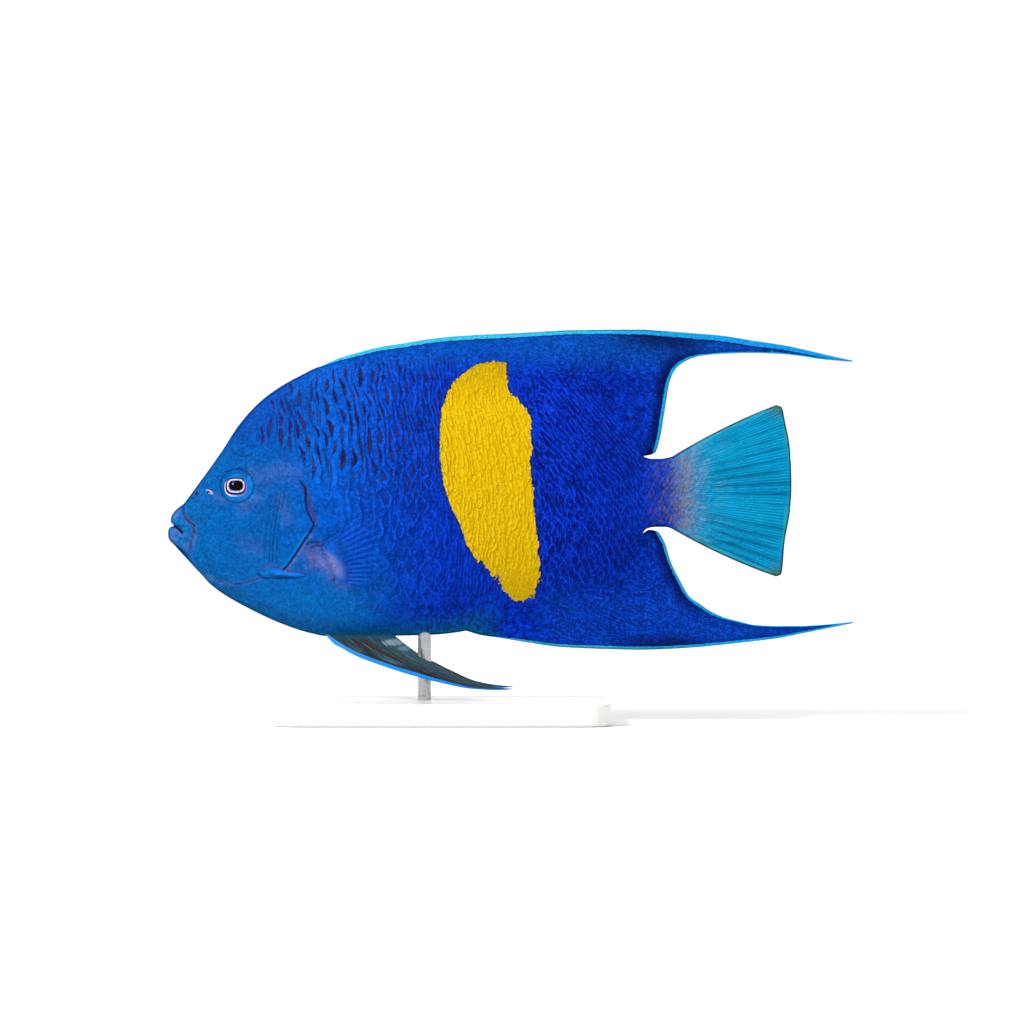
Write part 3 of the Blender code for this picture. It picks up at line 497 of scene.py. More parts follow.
def grid(columns, rows, start=0):
    faces = []
    for i in range(columns - 1):
        for j in range(rows - 1):
            a = start + i * rows + j
            faces.append((a, a + rows, a + rows + 1, a + 1))
    return faces


def register(thing, slot, *nodes):
    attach(thing, "root")
    if nodes:
        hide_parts(*nodes)
    return thing


# Skin: sheets over the left side that share their borders, mirrored to the right

skinSizes = {"headColumns": 124, "headEnd": 82.0, "trunkColumns": 62, "rows": 104, "lowRow": 34,
             "highRow": 68, "snoutBack": 16.0, "snoutColumns": 18}


def rowShares(back, rows):
    # where the rows of a column stand between the lower and the upper edge
    j = np.linspace(0, 1, rows + 1)
    crowded = mix(j, 0.5 - 0.5 * np.cos(np.pi * j), 0.6)
    low, high = skinSizes["lowRow"] / skinSizes["rows"], skinSizes["highRow"] / skinSizes["rows"]
    split = fins["split"]
    bottom, top = lowEdge(split), topEdge(split)
    lowSplit = (line["bellyLine"](split) - bottom) / (top - bottom)
    highSplit = (line["backLine"](split) - bottom) / (top - bottom)
    parted = np.interp(j, [0, low, high, 1], [0, lowSplit, highSplit, 1])
    return mix(crowded, parted, float(fade(back, skinSizes["headEnd"], split)))


def column(back, rows):
    low, top = float(lowEdge(back)), float(topEdge(back))
    return np.stack([np.full(rows + 1, float(back)), low + (top - low) * rowShares(back, rows)], 1)


def buildSkin():
    rows, lowRow, highRow = (skinSizes[name] for name in ("rows", "lowRow", "highRow"))
    split = fins["split"]
    places, faces, flats = [], [], []

    def addSheet(columns, closed=None):
        # the ends of the columns lie on the outline, and so does the whole of the closed one
        start = sum(len(p) for p in places)
        faces.extend(grid(len(columns), len(columns[0]), start))
        places.append(np.concatenate(columns))
        flat = np.zeros((len(columns), len(columns[0])), bool)
        flat[:, [0, -1]] = True
        if closed is not None:
            flat[closed] = True
        flats.append(flat.ravel())
        return start

    # snout
    rear = column(skinSizes["snoutBack"], 2 * rows)
    outline = walk([(b, u) for u, b in body["front"]], 600)
    reach = np.r_[0, np.cumsum(np.linalg.norm(np.diff(outline, axis=0), axis=1))]
    shares = 1 - (1 - np.linspace(0, 1, 2 * rows + 1)) ** 1.66
    front = np.stack([np.interp(shares * reach[-1], reach, outline[:, k]) for k in range(2)], 1)
    count = skinSizes["snoutColumns"]
    addSheet([mix(front, rear, (k / (count - 1)) ** 1.25) for k in range(count)], 0)
    # head and trunk, which has half as many rows
    headEnd, count = skinSizes["headEnd"], skinSizes["headColumns"]
    backs = np.linspace(skinSizes["snoutBack"], headEnd, count)
    headStart = addSheet([column(b, 2 * rows) for b in backs])
    t = np.linspace(0, 1, skinSizes["trunkColumns"])
    backs = np.sort(np.r_[headEnd + 1.5 + (split - headEnd - 1.5) * t, split - 0.5, split - 1.2])
    trunkStart = addSheet([column(b, rows) for b in backs])
    last = headStart + (count - 1) * (2 * rows + 1)
    for k in range(rows):
        a, b, c = last + 2 * k, last + 2 * k + 1, last + 2 * k + 2
        d, e = trunkStart + k, trunkStart + k + 1
        faces.extend([(a, d, b), (b, d, e), (b, e, c)])
    # lobes of the dorsal and anal fins
    splitRows = column(split, rows)[:, 1]
    steps = np.r_[split, 251.9, 252.6, np.arange(253.6, 257, 0.9), np.arange(257.2, 271, 0.42),
                  np.arange(271.4, 300, 1.5), np.arange(301, 360, 2.4), 360.2, 361.4]
    for low, high, tip, first, final in (
            (edge["dorsalRear"], topEdge, fins["dorsalTip"], highRow, rows),
            (lowEdge, edge["analRear"], fins["analTip"], 0, lowRow)):
        shares = splitRows[first:final + 1]
        shares = (shares - shares[0]) / (shares[-1] - shares[0])
        addSheet([np.stack([np.full(len(shares), b), mix(float(low(b)), float(high(b)), shares)], 1)
                  for b in np.r_[steps, tip]], -1)
    # stalk and tail fin
    start = splitRows[lowRow:highRow + 1]
    mid, bottom, top = (float(line[name](split)) for name in ("midLine", "bellyLine", "backLine"))
    level = np.where(start > mid, (start - mid) / (top - mid), (start - mid) / (mid - bottom))
    columns = []
    for s in np.linspace(0, 1, 22) ** 0.9:
        b = mix(split, tailRootBack(level), s)
        columns.append(np.stack([b, levelUp(b, level)], 1))
    root, rearWalk = columns[-1], walk(fins["tailRear"][::-1], (level + 1) / 2)
    for v in np.linspace(0, 1, 34)[1:]:
        place = mix(root, rearWalk, v)
        place[:, 1] += fins["tailBow"] * level * 4 * v * (1 - v)
        columns.append(place)
    addSheet(columns, -1)

    places = np.concatenate(places)
    side = skinHalf(places[:, 0], places[:, 1])
    side[np.concatenate(flats)] = 0
    skin = addObject("fish_skin", world(places[:, 0], -side, places[:, 1]), faces)
    cleanMesh(skin, 0.000002)
    mirror = skin.modifiers.new("Other side", "MIRROR")
    mirror.use_axis = (False, True, False)
    mirror.merge_threshold = 0.000004
    activate(skin)
    bpy.ops.object.modifier_apply(modifier=mirror.name)
    cleanMesh(skin)
    bpy.ops.object.shade_smooth()
    return skin


print("skin: building")
skin = buildSkin()
print("skin:", len(skin.data.vertices), "points,",
      sum(len(f.vertices) - 2 for f in skin.data.polygons), "triangles")


# The surface unrolled: back against q, the way round the flank from the middle line

class Unrolled:
    step = 0.5

    def __init__(self):
        self.backs = np.arange(4, 362.6, self.step)
        self.q = np.arange(-125, 125.1, self.step)
        shape = (len(self.backs), len(self.q))
        self.up, self.half, self.valid = np.zeros(shape), np.zeros(shape), np.zeros(shape)
        for i, b in enumerate(self.backs):
            u = np.linspace(float(lowEdge(b)), float(topEdge(b)), 760)
            s = skinHalf(np.full(len(u), b), u)
            arc = np.r_[0, np.cumsum(np.hypot(np.diff(u), np.diff(s)))]
            arc -= np.interp(float(line["midLine"](b)), u, arc)
            self.up[i] = np.interp(self.q, arc, u)
            self.half[i] = np.interp(self.q, arc, s)
            self.valid[i] = (self.q > arc[0]) & (self.q < arc[-1]) & (self.half[i] > 0.02)
        db, ub = (np.gradient(table, axis=0) / self.step for table in (self.half, self.up))
        dh, du = (np.gradient(table, axis=1) / self.step for table in (self.half, self.up))
        # the outward normal on the left side as (back, out, up)
        self.normal = np.stack([-(db * du - dh * ub), du, -dh], -1)
        self.normal /= np.maximum(np.linalg.norm(self.normal, axis=-1, keepdims=True), 1e-6)

    def look(self, table, back, q):
        x = np.clip((back - self.backs[0]) / self.step, 0, len(self.backs) - 1.001)
        y = np.clip((q - self.q[0]) / self.step, 0, len(self.q) - 1.001)
        i, j = x.astype(int), y.astype(int)
        right, above = x - i, y - j
        if table.ndim == 3:
            right, above = right[..., None], above[..., None]
        return mix(mix(table[i, j], table[i + 1, j], right),
                   mix(table[i, j + 1], table[i + 1, j + 1], right), above)


unrolled = Unrolled()
print("surface unrolled")


# Markings: distances and soft strokes that the skin and the scales share; the dark strokes are painted shade

markings = {
    "bar": [
        (168.1, 190.3), (163.8, 189.2), (159.4, 186.6), (152.9, 181.7), (149.1, 176.2), (145.3, 166.1),
        (144.2, 154.0), (144.2, 142.7), (144.9, 135.6), (146.1, 127.2), (147.4, 121.9),
        (151.1, 111.8), (155.3, 103.9), (158.2, 94.4), (163.2, 87.0), (171.7, 79.6),
        (178.8, 70.1), (183.9, 64.8), (187.0, 63.7), (193.7, 67.4), (194.2, 72.7), (196.8, 75.6),
        (197.1, 81.7), (196.3, 91.0), (194.8, 103.9), (193.9, 115.0), (192.9, 128.2),
        (191.8, 137.8), (192.6, 146.7), (192.2, 158.4), (191.1, 162.6), (187.6, 168.4),
        (181.8, 172.6), (180.2, 177.7), (179.7, 184.3), (179.1, 190.5)],
    "lavender": [       # pinkish tints, as (points, reach, strength)
        ([(10.4, 107.0), (9.6, 108.8)], 1.3, 0.55), (upperFold[8:], 0.9, 0.5), (lowerFold[:11], 0.8, 0.45),
        (outerFold, 0.7, 0.3), ([(2.4, 100), (3.6, 97)], 2.0, 0.3), ([(3.4, 109), (5.4, 112)], 1.8, 0.32),
        ([(5.0, 101.6), (8.0, 99.2)], 1.1, 0.45), ([(8.5, 93.5), (11.0, 92.6)], 1.6, 0.25),
        ([(46, 131), (52, 129), (60, 134), (67, 131)], 4.5, 0.18), ([(40, 114), (47, 119)], 3.4, 0.2),
        ([(26, 119), (30, 117)], 1.6, 0.25), ([(60, 118), (63, 108)], 3.5, 0.16),
        ([(78, 88.5), (84, 85), (88.5, 81), (92, 76.5)], 4.6, 0.7), ([(86.4, 83.2), (87, 82)], 3.4, 0.8),
        ([(75.8, 89.5), (76.0, 84.0)], 3.0, 0.35), (gillEdge[22:] + [1.1, -0.5], 0.8, 0.7),
        ([(40, 96), (48, 92)], 4.0, 0.1), ([(42.2, 131.6), (45.0, 129.6)], 0.5, 0.5),
        ([(29.5, 118.2), (31.4, 116.6)], 0.5, 0.4), (throatLine, 1.0, 0.15)],
    "brown": [
        (mouthLine[4:], 0.7, 0.6), (throatLine, 0.45, 0.4), (lowerFold, 0.5, 0.55),
        (upperFold[6:], 0.5, 0.5), (spineTop + [0, 0.3], 0.55, 0.85), (finSlitLow[3:], 0.75, 0.9),
        ([(72.8, 124), (74.4, 119), (75.6, 114), (77.1, 109.5), (78.6, 105.4)], 1.0, 0.8),
        (finSlit[3:], 0.5, 0.5), ([(74.5, 91.4), (76.5, 87.0), (77.0, 81.5)], 1.8, 0.3),
        (lowerFold[3:9], 0.45, 0.4), ([(15.7, 120.9), (15.2, 121.3)], 1.3, 0.45)],
    "azure": [
        (gillEdge[23:] + [-1.1, 0.5], 0.6, 0.9), ([(44.0, 119.6), (45.0, 124.0), (43.6, 129.6)], 1.5, 0.75),
        ([(30.4, 119.0), (36.5, 117.2), (42, 118.8)], 1.3, 0.6), (preopercle[4:] + [1.0, 0], 0.6, 0.4),
        (preopercle[4:] + [3.7, 0], 0.5, 0.3), ([(64.0, 171.0), (70.0, 177.0)], 0.6, 0.3)],
    # painted shade: dark strokes along the head's creases, grooves, gill edge and orbit
    "dark": [
        (mouthLine, 0.5, 1.0), (mouthLine[8:], 0.8, 1.0), (gillEdge, 0.45, 1.0), (lowerFold, 0.36, 0.65),
        (upperFold, 0.38, 0.8), (browLine, 0.42, 0.7), (spineLow, 0.5, 0.9), (finSlit, 0.5, 0.8),
        (finSlitLow[2:], 0.4, 0.5), (lowFold, 0.5, 0.75),
        (finUpper, 0.38, 0.6), (orbit, 0.4, 0.8), (throatLine[8:], 0.34, 0.6),
        ([(22.4, 131.6), (26.0, 130.2), (29.2, 128.2)], 0.3, 0.35),
        ([(24.8, 134.4), (29.0, 131.6)], 0.3, 0.3),
        ([(28.2, 137.0), (31.8, 133.4)], 0.32, 0.35), ([(33.0, 147.4), (35.4, 143.6)], 0.3, 0.3)],
}
# painted shade in the grooves between the ridges of the preopercle
for shift, strength in ((-1.65, 0.3), (0.95, 0.55), (2.75, 0.5), (4.6, 0.3)):
    markings["dark"].append((preopercle + [shift, 0], 0.42, strength))
# painted shade inside the nostril pits
for pb, pu, radius, depth in pits:
    markings["dark"].append(([(pb, pu), (pb, pu)], radius * 0.95, 0.85))


def strokes(back, up, table):
    value = np.zeros(np.shape(back))
    for points, reach, strength in table:
        value = np.maximum(value, strength * np.exp(-(lineDistance(back, up, points) / reach) ** 2))
    return value


def rimBand(back, up):
    # 0 at the fin margins and 1 at the inner border of their bright band
    top = beyond(topEdge, back, up, 1) / np.interp(
        back, [79, 96, 130, 230, 250, 280, 300, 340, 362], [0.05, 1.7, 2.2, 2.2, 2.6, 2.9, 3.0, 2.2, 1.0])
    low = beyond(lowEdge, back, up, -1) / np.interp(
        back, [170, 185, 230, 300, 362], [0.05, 1.1, 1.8, 1.5, 0.9])
    band = np.minimum(np.where((up > 118) & (back > 79), top, 9),
                      np.where((up < 118) & (back > 171), low, 9))
    behind = back > 250
    rear = lineDistance(back[behind], up[behind], fins["dorsalRear"][2:])
    rear = rear / np.interp(back[behind], [256, 262, 270, 285, 362], [1.3, 2.1, 1.7, 0.8, 0.6])
    under = lineDistance(back[behind], up[behind], fins["analRear"][2:])
    under = under / np.interp(back[behind], [256, 262, 285, 300, 362], [0.8, 1.5, 1.6, 0.7, 0.5])
    onTail = (up[behind] < edge["tailTop"](back[behind])) & (up[behind] > edge["tailLow"](back[behind]))
    onTail &= back[behind] < 331
    band[behind] = np.where(onTail, 9, np.minimum(band[behind], np.minimum(rear, under)))
    return np.clip(band, 0, 9)


def rayStrength(fan):
    # dark lines of the tail's rays, by the place across the fan
    count = fins["tailRays"]
    off = np.abs(fan * count / 2 - np.round(fan * count / 2))
    return 0.95 * fade(0.15 - off, 0, 0.1)


def tailMask(back, up):
    inside = (up < edge["tailTop"](back) + 0.2) & (up > edge["tailLow"](back) - 0.2)
    return inside * (back > 250) * (back < 331) * 1.0


def marks(back, up):
    values = {}
    bar = markings["bar"]
    near = (back > 135) & (back < 206) & (up > 55) & (up < 200)
    distance = np.full(np.shape(back), -20.0)
    half = fleshHalf(back, up)
    b, u = seen(back[near], up[near], half[near])
    distance[near] = lineDistance(b, u, bar + bar[:1]) * np.where(insideOf(b, u, bar), 1, -1)
    values["bar"] = distance
    values["rim"] = rimBand(back, up)
    tail = tailMask(back, up)
    values["tail"] = tail
    fan = fanLevel(back, up)
    values["fan"] = np.where(tail > 0, fan, 0)
    tailEdge = np.minimum(beyond(edge["tailTop"], back, up, 1), beyond(edge["tailLow"], back, up, -1))
    values["tailEdge"] = np.where((tail > 0) & (back > 264), np.clip(tailEdge, 0, 20), 20)
    rear = np.full(np.shape(back), 20.0)
    far = back > 300
    rear[far] = np.clip(lineDistance(back[far], up[far], fins["tailRear"]), 0, 20)
    values["tailRear"] = np.where(tail > 0, rear, 20)
    corners = [np.hypot(back - 322.5, up - end) for end in (167.3, 78.0)]
    values["corner"] = 0.8 * fade(9 - np.minimum(*corners), 0, 9) * (tail > 0)
    values["ray"] = np.where(tail > 0, rayStrength(fan) * fade(back, 276, 292), 0)
    head = back < 110
    b, u = seen(back[head], up[head], half[head])
    # strokes on the head: lavender, brown and azure colour, and the dark strokes of painted shade
    for name in ("lavender", "brown", "azure", "dark"):
        value = np.zeros(np.shape(back))
        value[head] = strokes(b, u, markings[name])
        values[name] = value
    onBack = fade(up - line["backLine"](back), -9, 3) * (back > 80)
    onBelly = fade(line["bellyLine"](back) - up, -9, 3) * (back > 150)
    values["fin"] = np.maximum(onBack, onBelly) * (1 - tail)
    belly = up - line["bellyLine"](back)
    values["belly"] = fade(14 - belly, 0, 14) * fade(back, 12, 30) * fade(182 - back, 0, 20)
    values["outline"] = np.clip(outlineDistance(back, up), 0, 6)
    return values


def mark(thing, extra):
    # writes the shared values on a mesh, from where its points lie
    mesh = thing.data
    co = placesOf(mesh)
    for name, values in marks(co[:, 0] / mm + middleBack, co[:, 2] / mm).items():
        setAttribute(mesh, name, values)
    for name, values in extra.items():
        setAttribute(mesh, name, np.full(len(co), values) if np.isscalar(values) else values)


# Materials

def colour(red, green, blue):
    # from a colour as a screen shows it
    def straight(c):
        c /= 255
        return c / 12.92 if c < 0.04045 else ((c + 0.055) / 1.055) ** 2.4
    return (straight(red), straight(green), straight(blue), 1.0)


def operation(name, turned=False):
    # a sign between two values becomes a math node
    def build(self, other=0.0):
        return self.look.calc(name, *((other, self) if turned else (self, other)))
    return build


class Value:
    # what a node gives out, so that sums and products of values read as formulas
    def __init__(self, look, socket):
        self.look, self.socket = look, socket

    __add__ = operation("ADD")
    __sub__, __rsub__ = operation("SUBTRACT"), operation("SUBTRACT", True)
    __mul__, __truediv__ = operation("MULTIPLY"), operation("DIVIDE")
    __pow__, __abs__ = operation("POWER"), operation("ABSOLUTE")

    def times(self, factor, plus):
        return self.look.calc("MULTIPLY_ADD", self, factor, plus)

    def fade(self, low, high, start=0.0, end=1.0):
        return self.look.add("MapRange", dict(enumerate((self, low, high, start, end))),
                             interpolation_type="SMOOTHSTEP")


class Look:
    # a material with short calls for its nodes; colours are given as a screen shows them
    def __init__(self, name):
        self.material = bpy.data.materials.new(name)
        self.material.use_nodes = True
        self.nodes, self.links = self.material.node_tree.nodes, self.material.node_tree.links
        self.shader = self.nodes["Principled BSDF"]
        self.place = self.add("TexCoord", {}, "Object")

    def put(self, socket, value):
        if isinstance(value, Value):
            self.links.new(value.socket, socket)
        else:
            socket.default_value = colour(*value) if socket.type == "RGBA" else value

    def add(self, kind, inputs, output=0, **settings):
        node = self.nodes.new("ShaderNode" + kind)
        for name, value in settings.items():
            setattr(node, name, value)
        for name, value in inputs.items():
            self.put(node.inputs[name], value)
        return Value(self, node.outputs[output])

    def set(self, **values):
        for name, value in values.items():
            self.put(self.shader.inputs[name.replace("_", " ")], value)

    def value(self, name):
        return self.add("Attribute", {}, "Fac", attribute_name=name)

    def calc(self, sign, a, b=0.0, c=0.0):
        return self.add("Math", dict(enumerate((a, b, c))), operation=sign)

    def blend(self, share, a, b):
        return self.add("Mix", {0: share, 6: a, 7: b}, 2, data_type="RGBA")

    def layers(self, base, *coats):
        # colours laid over one another, each as (share, colour)
        for share, tint in coats:
            base = self.blend(share, base, tint)
        return base

    def ramp(self, value, *stops):
        ramp = self.add("ValToRGB", {0: value})
        elements = ramp.socket.node.color_ramp.elements
        for k, (at, tint) in enumerate(stops):
            spot = elements[k] if k < 2 else elements.new(at)
            spot.position, spot.color = at, colour(*tint)
        return ramp

    def noise(self, scale, detail=3.0, rough=0.55, where=None, distort=0.0):
        return self.add("TexNoise", {"Vector": where or self.place, "Scale": scale, "Detail": detail,
                                     "Roughness": rough, "Distortion": distort})

    def stretch(self, x, y, z, turn=0.0):
        return self.add("Mapping", {"Vector": self.place, "Scale": (x, y, z), "Rotation": (0, turn, 0)})

    def split(self):
        node = self.add("SeparateXYZ", {0: self.place}).socket.node
        return [Value(self, socket) for socket in node.outputs]

    def backUp(self):
        x, y, z = self.split()
        return x.times(1000.0, middleBack), z * 1000.0

    def bump(self, height, strength, distance):
        self.set(Normal=self.add("Bump", {"Strength": strength, "Distance": distance, "Height": height}))


def fishLook(name, net):
    # the fish's colours: gradients by place, the bar, the margins, the tail and soft marks, with painted
    # shade in the head's creases and along the outline;
    # "net" says how far the painted highlight and shade within each scale shows
    look = Look(name)
    x, y, z = look.split()
    back, up = x.times(1000.0, middleBack), z * 1000.0
    along = back / 362.0
    patchy, mottle = look.noise(26.0, 4.0), look.noise(150.0, 4.0, 0.65)
    fine, grain, wavy = look.noise(620.0, 2.0), look.noise(1500.0, 3.0, 0.7), look.noise(420.0, 3.0, 0.6)
    belly, outline, rim, onFin = (look.value(key) for key in ("belly", "outline", "rim", "fin"))
    # the bright and the dark tone of the scales along the body; they also serve as the lit and the shaded
    # side of the painted highlight and shade within each scale
    tones = (
        (0.0, (6, 128, 212), (8, 80, 150)), (362.0, (6, 96, 226), (2, 56, 170)),
        (26.0, (2, 126, 218), (4, 82, 158)), (62.0, (2, 120, 226), (6, 80, 164)),
        (88.0, (0, 112, 244), (2, 70, 174)), (122.0, (0, 88, 244), (0, 46, 152)),
        (150.0, (0, 68, 240), (0, 38, 138)), (198.0, (0, 72, 252), (0, 18, 120)),
        (240.0, (2, 66, 238), (0, 28, 132)), (300.0, (8, 92, 232), (2, 52, 168)))
    bright, dark = (look.ramp(along, *[(tone[0] / 362, tone[k]) for tone in tones]) for k in (1, 2))
    # the breast and belly run to cyan and teal, the nape is deeper
    low = up.fade(104.0, 62.0) * back.fade(134.0, 86.0)
    nape = up.fade(128.0, 165.0) * back.fade(92.0, 60.0)
    crown = up.fade(180.0, 200.0) * back.fade(90.0, 110.0) * back.fade(340.0, 240.0, 0.45, 1.0)
    keel = up.fade(86.0, 58.0) * back.fade(188.0, 208.0)
    teal = belly * outline.fade(3.6, 0.8) * back.fade(70.0, 90.0, 0.3, 0.75)
    rearDark = rim.fade(7.0, 1.0) * (back.fade(225.0, 255.0) * back.fade(292.0, 270.0, 0.3, 1.0))
    for share, light, deep in (
            (low * 0.8, (4, 132, 226), (6, 98, 178)), (nape * 0.85, (2, 82, 202), (2, 52, 138)),
            (crown * 0.75, (8, 114, 236), (8, 82, 184)), (keel * 0.7, (4, 92, 244), (2, 52, 160)),
            (belly * 0.85, (2, 112, 194), (2, 68, 124)), (teal, (2, 138, 180), (2, 98, 128)),
            (rearDark * 0.85, (1, 10, 92), (1, 8, 62))):
        bright, dark = look.blend(share, bright, light), look.blend(share, dark, deep)
    # within a scale, painted light and shade: a painted highlight at its free edge and painted shade in its
    # middle, or the other way round
    rimOfScale, across, tone = look.value("edge"), look.value("across"), look.value("tone")
    shift = (wavy - 0.5) * 0.45
    specks, pores = grain.fade(0.36, 0.64) - 0.5, fine.fade(0.36, 0.64) - 0.5
    band = (rimOfScale + shift).fade(0.5, 0.14)
    leaning = up.fade(88.0, 146.0, 0.55, 1.0) * back.fade(186.0, 198.0)
    broken = look.noise(230.0, 3.0, 0.6).fade(0.36, 0.56, 0.4, 1.15)
    broken = broken * (1.0 - leaning * across.fade(0.25, -0.35, 0.0, 0.85))
    pattern = band.times(broken, -0.42) * look.value("net") * net
    ripple = look.noise(760.0, 1.0, where=look.stretch(0.6, 1.0, 1.25, math.radians(-12)), distort=0.6)
    ripple = ripple.fade(0.4, 0.6) - 0.5
    slant = look.noise(520.0, 2.0, where=look.stretch(1.4, 1.0, 0.4, math.radians(42)))
    slant = slant.fade(0.38, 0.62) - 0.5
    onBelly = up.fade(68.0, 58.0) * back.fade(120.0, 136.0) * back.fade(196.0, 184.0)
    texture = specks * 0.42 + pores * 0.34 + ripple * onFin * 0.55
    texture = texture + (wavy.fade(0.4, 0.6) - 0.5) * back.fade(50.0, 80.0, 0.1, 0.3)
    texture = (texture + slant * onBelly * 0.8) * back.fade(110.0, 66.0, 1.0, 1.25)
    share = (pattern + (tone - 0.5) * 0.34 + texture + (mottle - 0.5) * onFin.times(-0.6, 0.8)
             + patchy.fade(0.4, 0.7, 0.52, 0.38))
    share.socket.node.use_clamp = True
    # dashes: painted shadow, one tapered dark stroke with a brownish core inside each big scale, behind the
    # free edge of the one before
    stroke = abs(rimOfScale - shift.times(0.3, 0.68)) - (1.0 - across ** 2.0) * 0.225 + specks * 0.1
    core = stroke.fade(-0.04, -0.18, 0.0, 0.6) * mottle.fade(0.42, 0.6)
    dashTint = look.ramp(along, (0.17, (28, 24, 108)), (1.0, (26, 26, 66)), (0.22, (22, 24, 94)),
                         (0.27, (20, 24, 66)), (0.42, (18, 26, 76)))
    dashTint = look.blend(core, dashTint, (74, 58, 82))
    # the yellow bar, with a painted highlight along each ridge and painted shade between the ridges
    ridge = (band - 0.5) * 0.6 + (pores * 0.35 + specks * 0.25)
    yellow = look.layers(
        look.blend(ridge.fade(-0.5, 0.5), (228, 184, 0), (250, 210, 14)),
        (tone.fade(0.0, 1.0, 0.0, 0.25), (234, 190, 2)), (up.fade(84.0, 62.0, 0.0, 0.6), (222, 182, 2)),
        (up.fade(164.0, 190.0, 0.0, 0.8), (208, 170, 2)))
    bar = look.value("bar") + (fine - 0.5) * 1.4
    # bright margins of the dorsal and anal fins
    ragged = rim + (fine - 0.5) * 0.5
    bandTint = look.ramp(along, (0.2, (20, 160, 240)), (1.0, (14, 160, 250)), (0.245, (58, 206, 252)),
                         (0.6, (54, 204, 252)), (0.72, (26, 172, 246)))
    # tail: spotted stalk, grey-lavender, then turquoise with fine rays
    tail, fan = look.value("tail"), look.value("fan")
    border, rearEdge = look.value("tailEdge"), look.value("tailRear")
    rays = look.calc("SINE", (fan + (look.noise(90.0, 2.0) - 0.5) * 0.03) * 190.0)
    turquoise = look.layers(
        look.blend(rays.fade(-0.7, 0.9), (0, 136, 190), (2, 176, 226)),
        (mottle.fade(0.42, 0.66, 0.0, 0.5), (0, 154, 208)), (look.value("ray"), (0, 110, 156)))
    zigzag = (look.noise(150.0, 4.0, 0.7) - 0.5) * 10.0
    greyish = look.blend(wavy.fade(0.4, 0.6), (64, 126, 190), (122, 150, 192))
    threads = look.add("CombineXYZ", {0: wavy.times(0.7, fan * 44.0), 1: back * 0.09})
    thread = look.noise(1.0, 3.0, 0.55, where=threads)
    drawn = zigzag.times(0.3, back) + (0.5 - thread) * 44.0
    pale = thread.fade(0.55, 0.66) * (back.fade(306.0, 284.0) * back.fade(264.0, 276.0))
    onTail = look.layers(
        look.blend(drawn.fade(271.0, 289.0), greyish, turquoise), (pale * 0.38, (136, 196, 208)),
        (thread.fade(0.44, 0.34) * back.fade(300.0, 280.0, 0.0, 0.4), (40, 96, 160)),
        (border.fade(3.0, 1.3, 0.0, 0.55), (60, 178, 200)),
        (border.fade(1.0, 0.5, 0.0, 0.85), (34, 62, 66)),
        (rearEdge.fade(2.2, 1.2, 0.0, 0.5), (40, 172, 176)),
        (rearEdge.fade(0.9, 0.4, 0.0, 0.9), (12, 76, 80)),
        (look.value("corner"), (74, 108, 78)))
    oval = look.value("heart") + shift * 1.2
    # all layers, from the scales' ground tone to the spots of the stalk
    speckle = grain.fade(0.36, 0.62, 0.3, 1.2)
    lavender = look.blend(mottle.fade(0.4, 0.65), (112, 108, 170), (150, 140, 196))
    scaled = look.layers(
        look.blend(share, dark, bright),
        (stroke.fade(0.07, -0.09) * look.value("dash"), dashTint),
        (look.value("lavender") * speckle, lavender), (look.value("azure"), (0, 142, 250)),
        # the second of these is painted shade in the head's creases and pits
        (look.value("brown") * speckle, (92, 46, 70)), (look.value("dark"), (4, 16, 52)),
        # painted shade: a navy line along the outline where the body rounds away, weaker where the body is
        # thick
        (outline.fade(1.3, 0.4) * rim.fade(1.0, 2.0) * abs(y).fade(0.007, 0.002, 0.2, 0.75), (2, 24, 84)),
        (bar.fade(-0.8, -0.25, 0.0, 0.75), (16, 34, 52)), (bar.fade(-0.3, 0.12), yellow),
        (ragged.fade(1.55, 1.02, 0.0, 0.75), (8, 18, 74)), (ragged.fade(1.05, 0.93), bandTint),
        (tail * (back + zigzag).fade(262.0, 277.0), onTail),
        (look.value("spot") * oval.fade(1.0, 0.6, 0.0, 0.85),
         look.blend(back.fade(258.0, 278.0), (92, 80, 98), (156, 128, 96))))
    look.set(Base_Color=scaled, Roughness=grain.fade(0.2, 0.8, 0.44, 0.6),
             Specular_IOR_Level=outline.fade(0.6, 4.0, 0.0, 0.05))
    look.bump(specks * 0.5 + (pores + mottle) + ripple * onFin * 1.2, 1.0, 0.0006)
    return look.material


print("marking the skin")
plain = {"edge": 0.5, "across": 0.0, "tone": 0.5, "net": 0.0, "spot": 0.0, "heart": 1.0, "dash": 0.0}
mark(skin, plain)
skin.data.materials.append(fishLook("Fish skin", 0.0))
register(skin, "scaled_skin", "head", "upper_lip", "lower_lip", "gill_cover_left",
         "gill_cover_right", "trunk", "tail_stalk", "dorsal_fin_front", "dorsal_fin_rear",
         "dorsal_fin_streamer", "anal_fin", "anal_fin_streamer", "tail_fin")


# Scales: rows of plates laid out on the unrolled surface. Sizes in mm by distance back;
# "reach" is how far a free edge bulges, from straight ridges to a net of diamonds

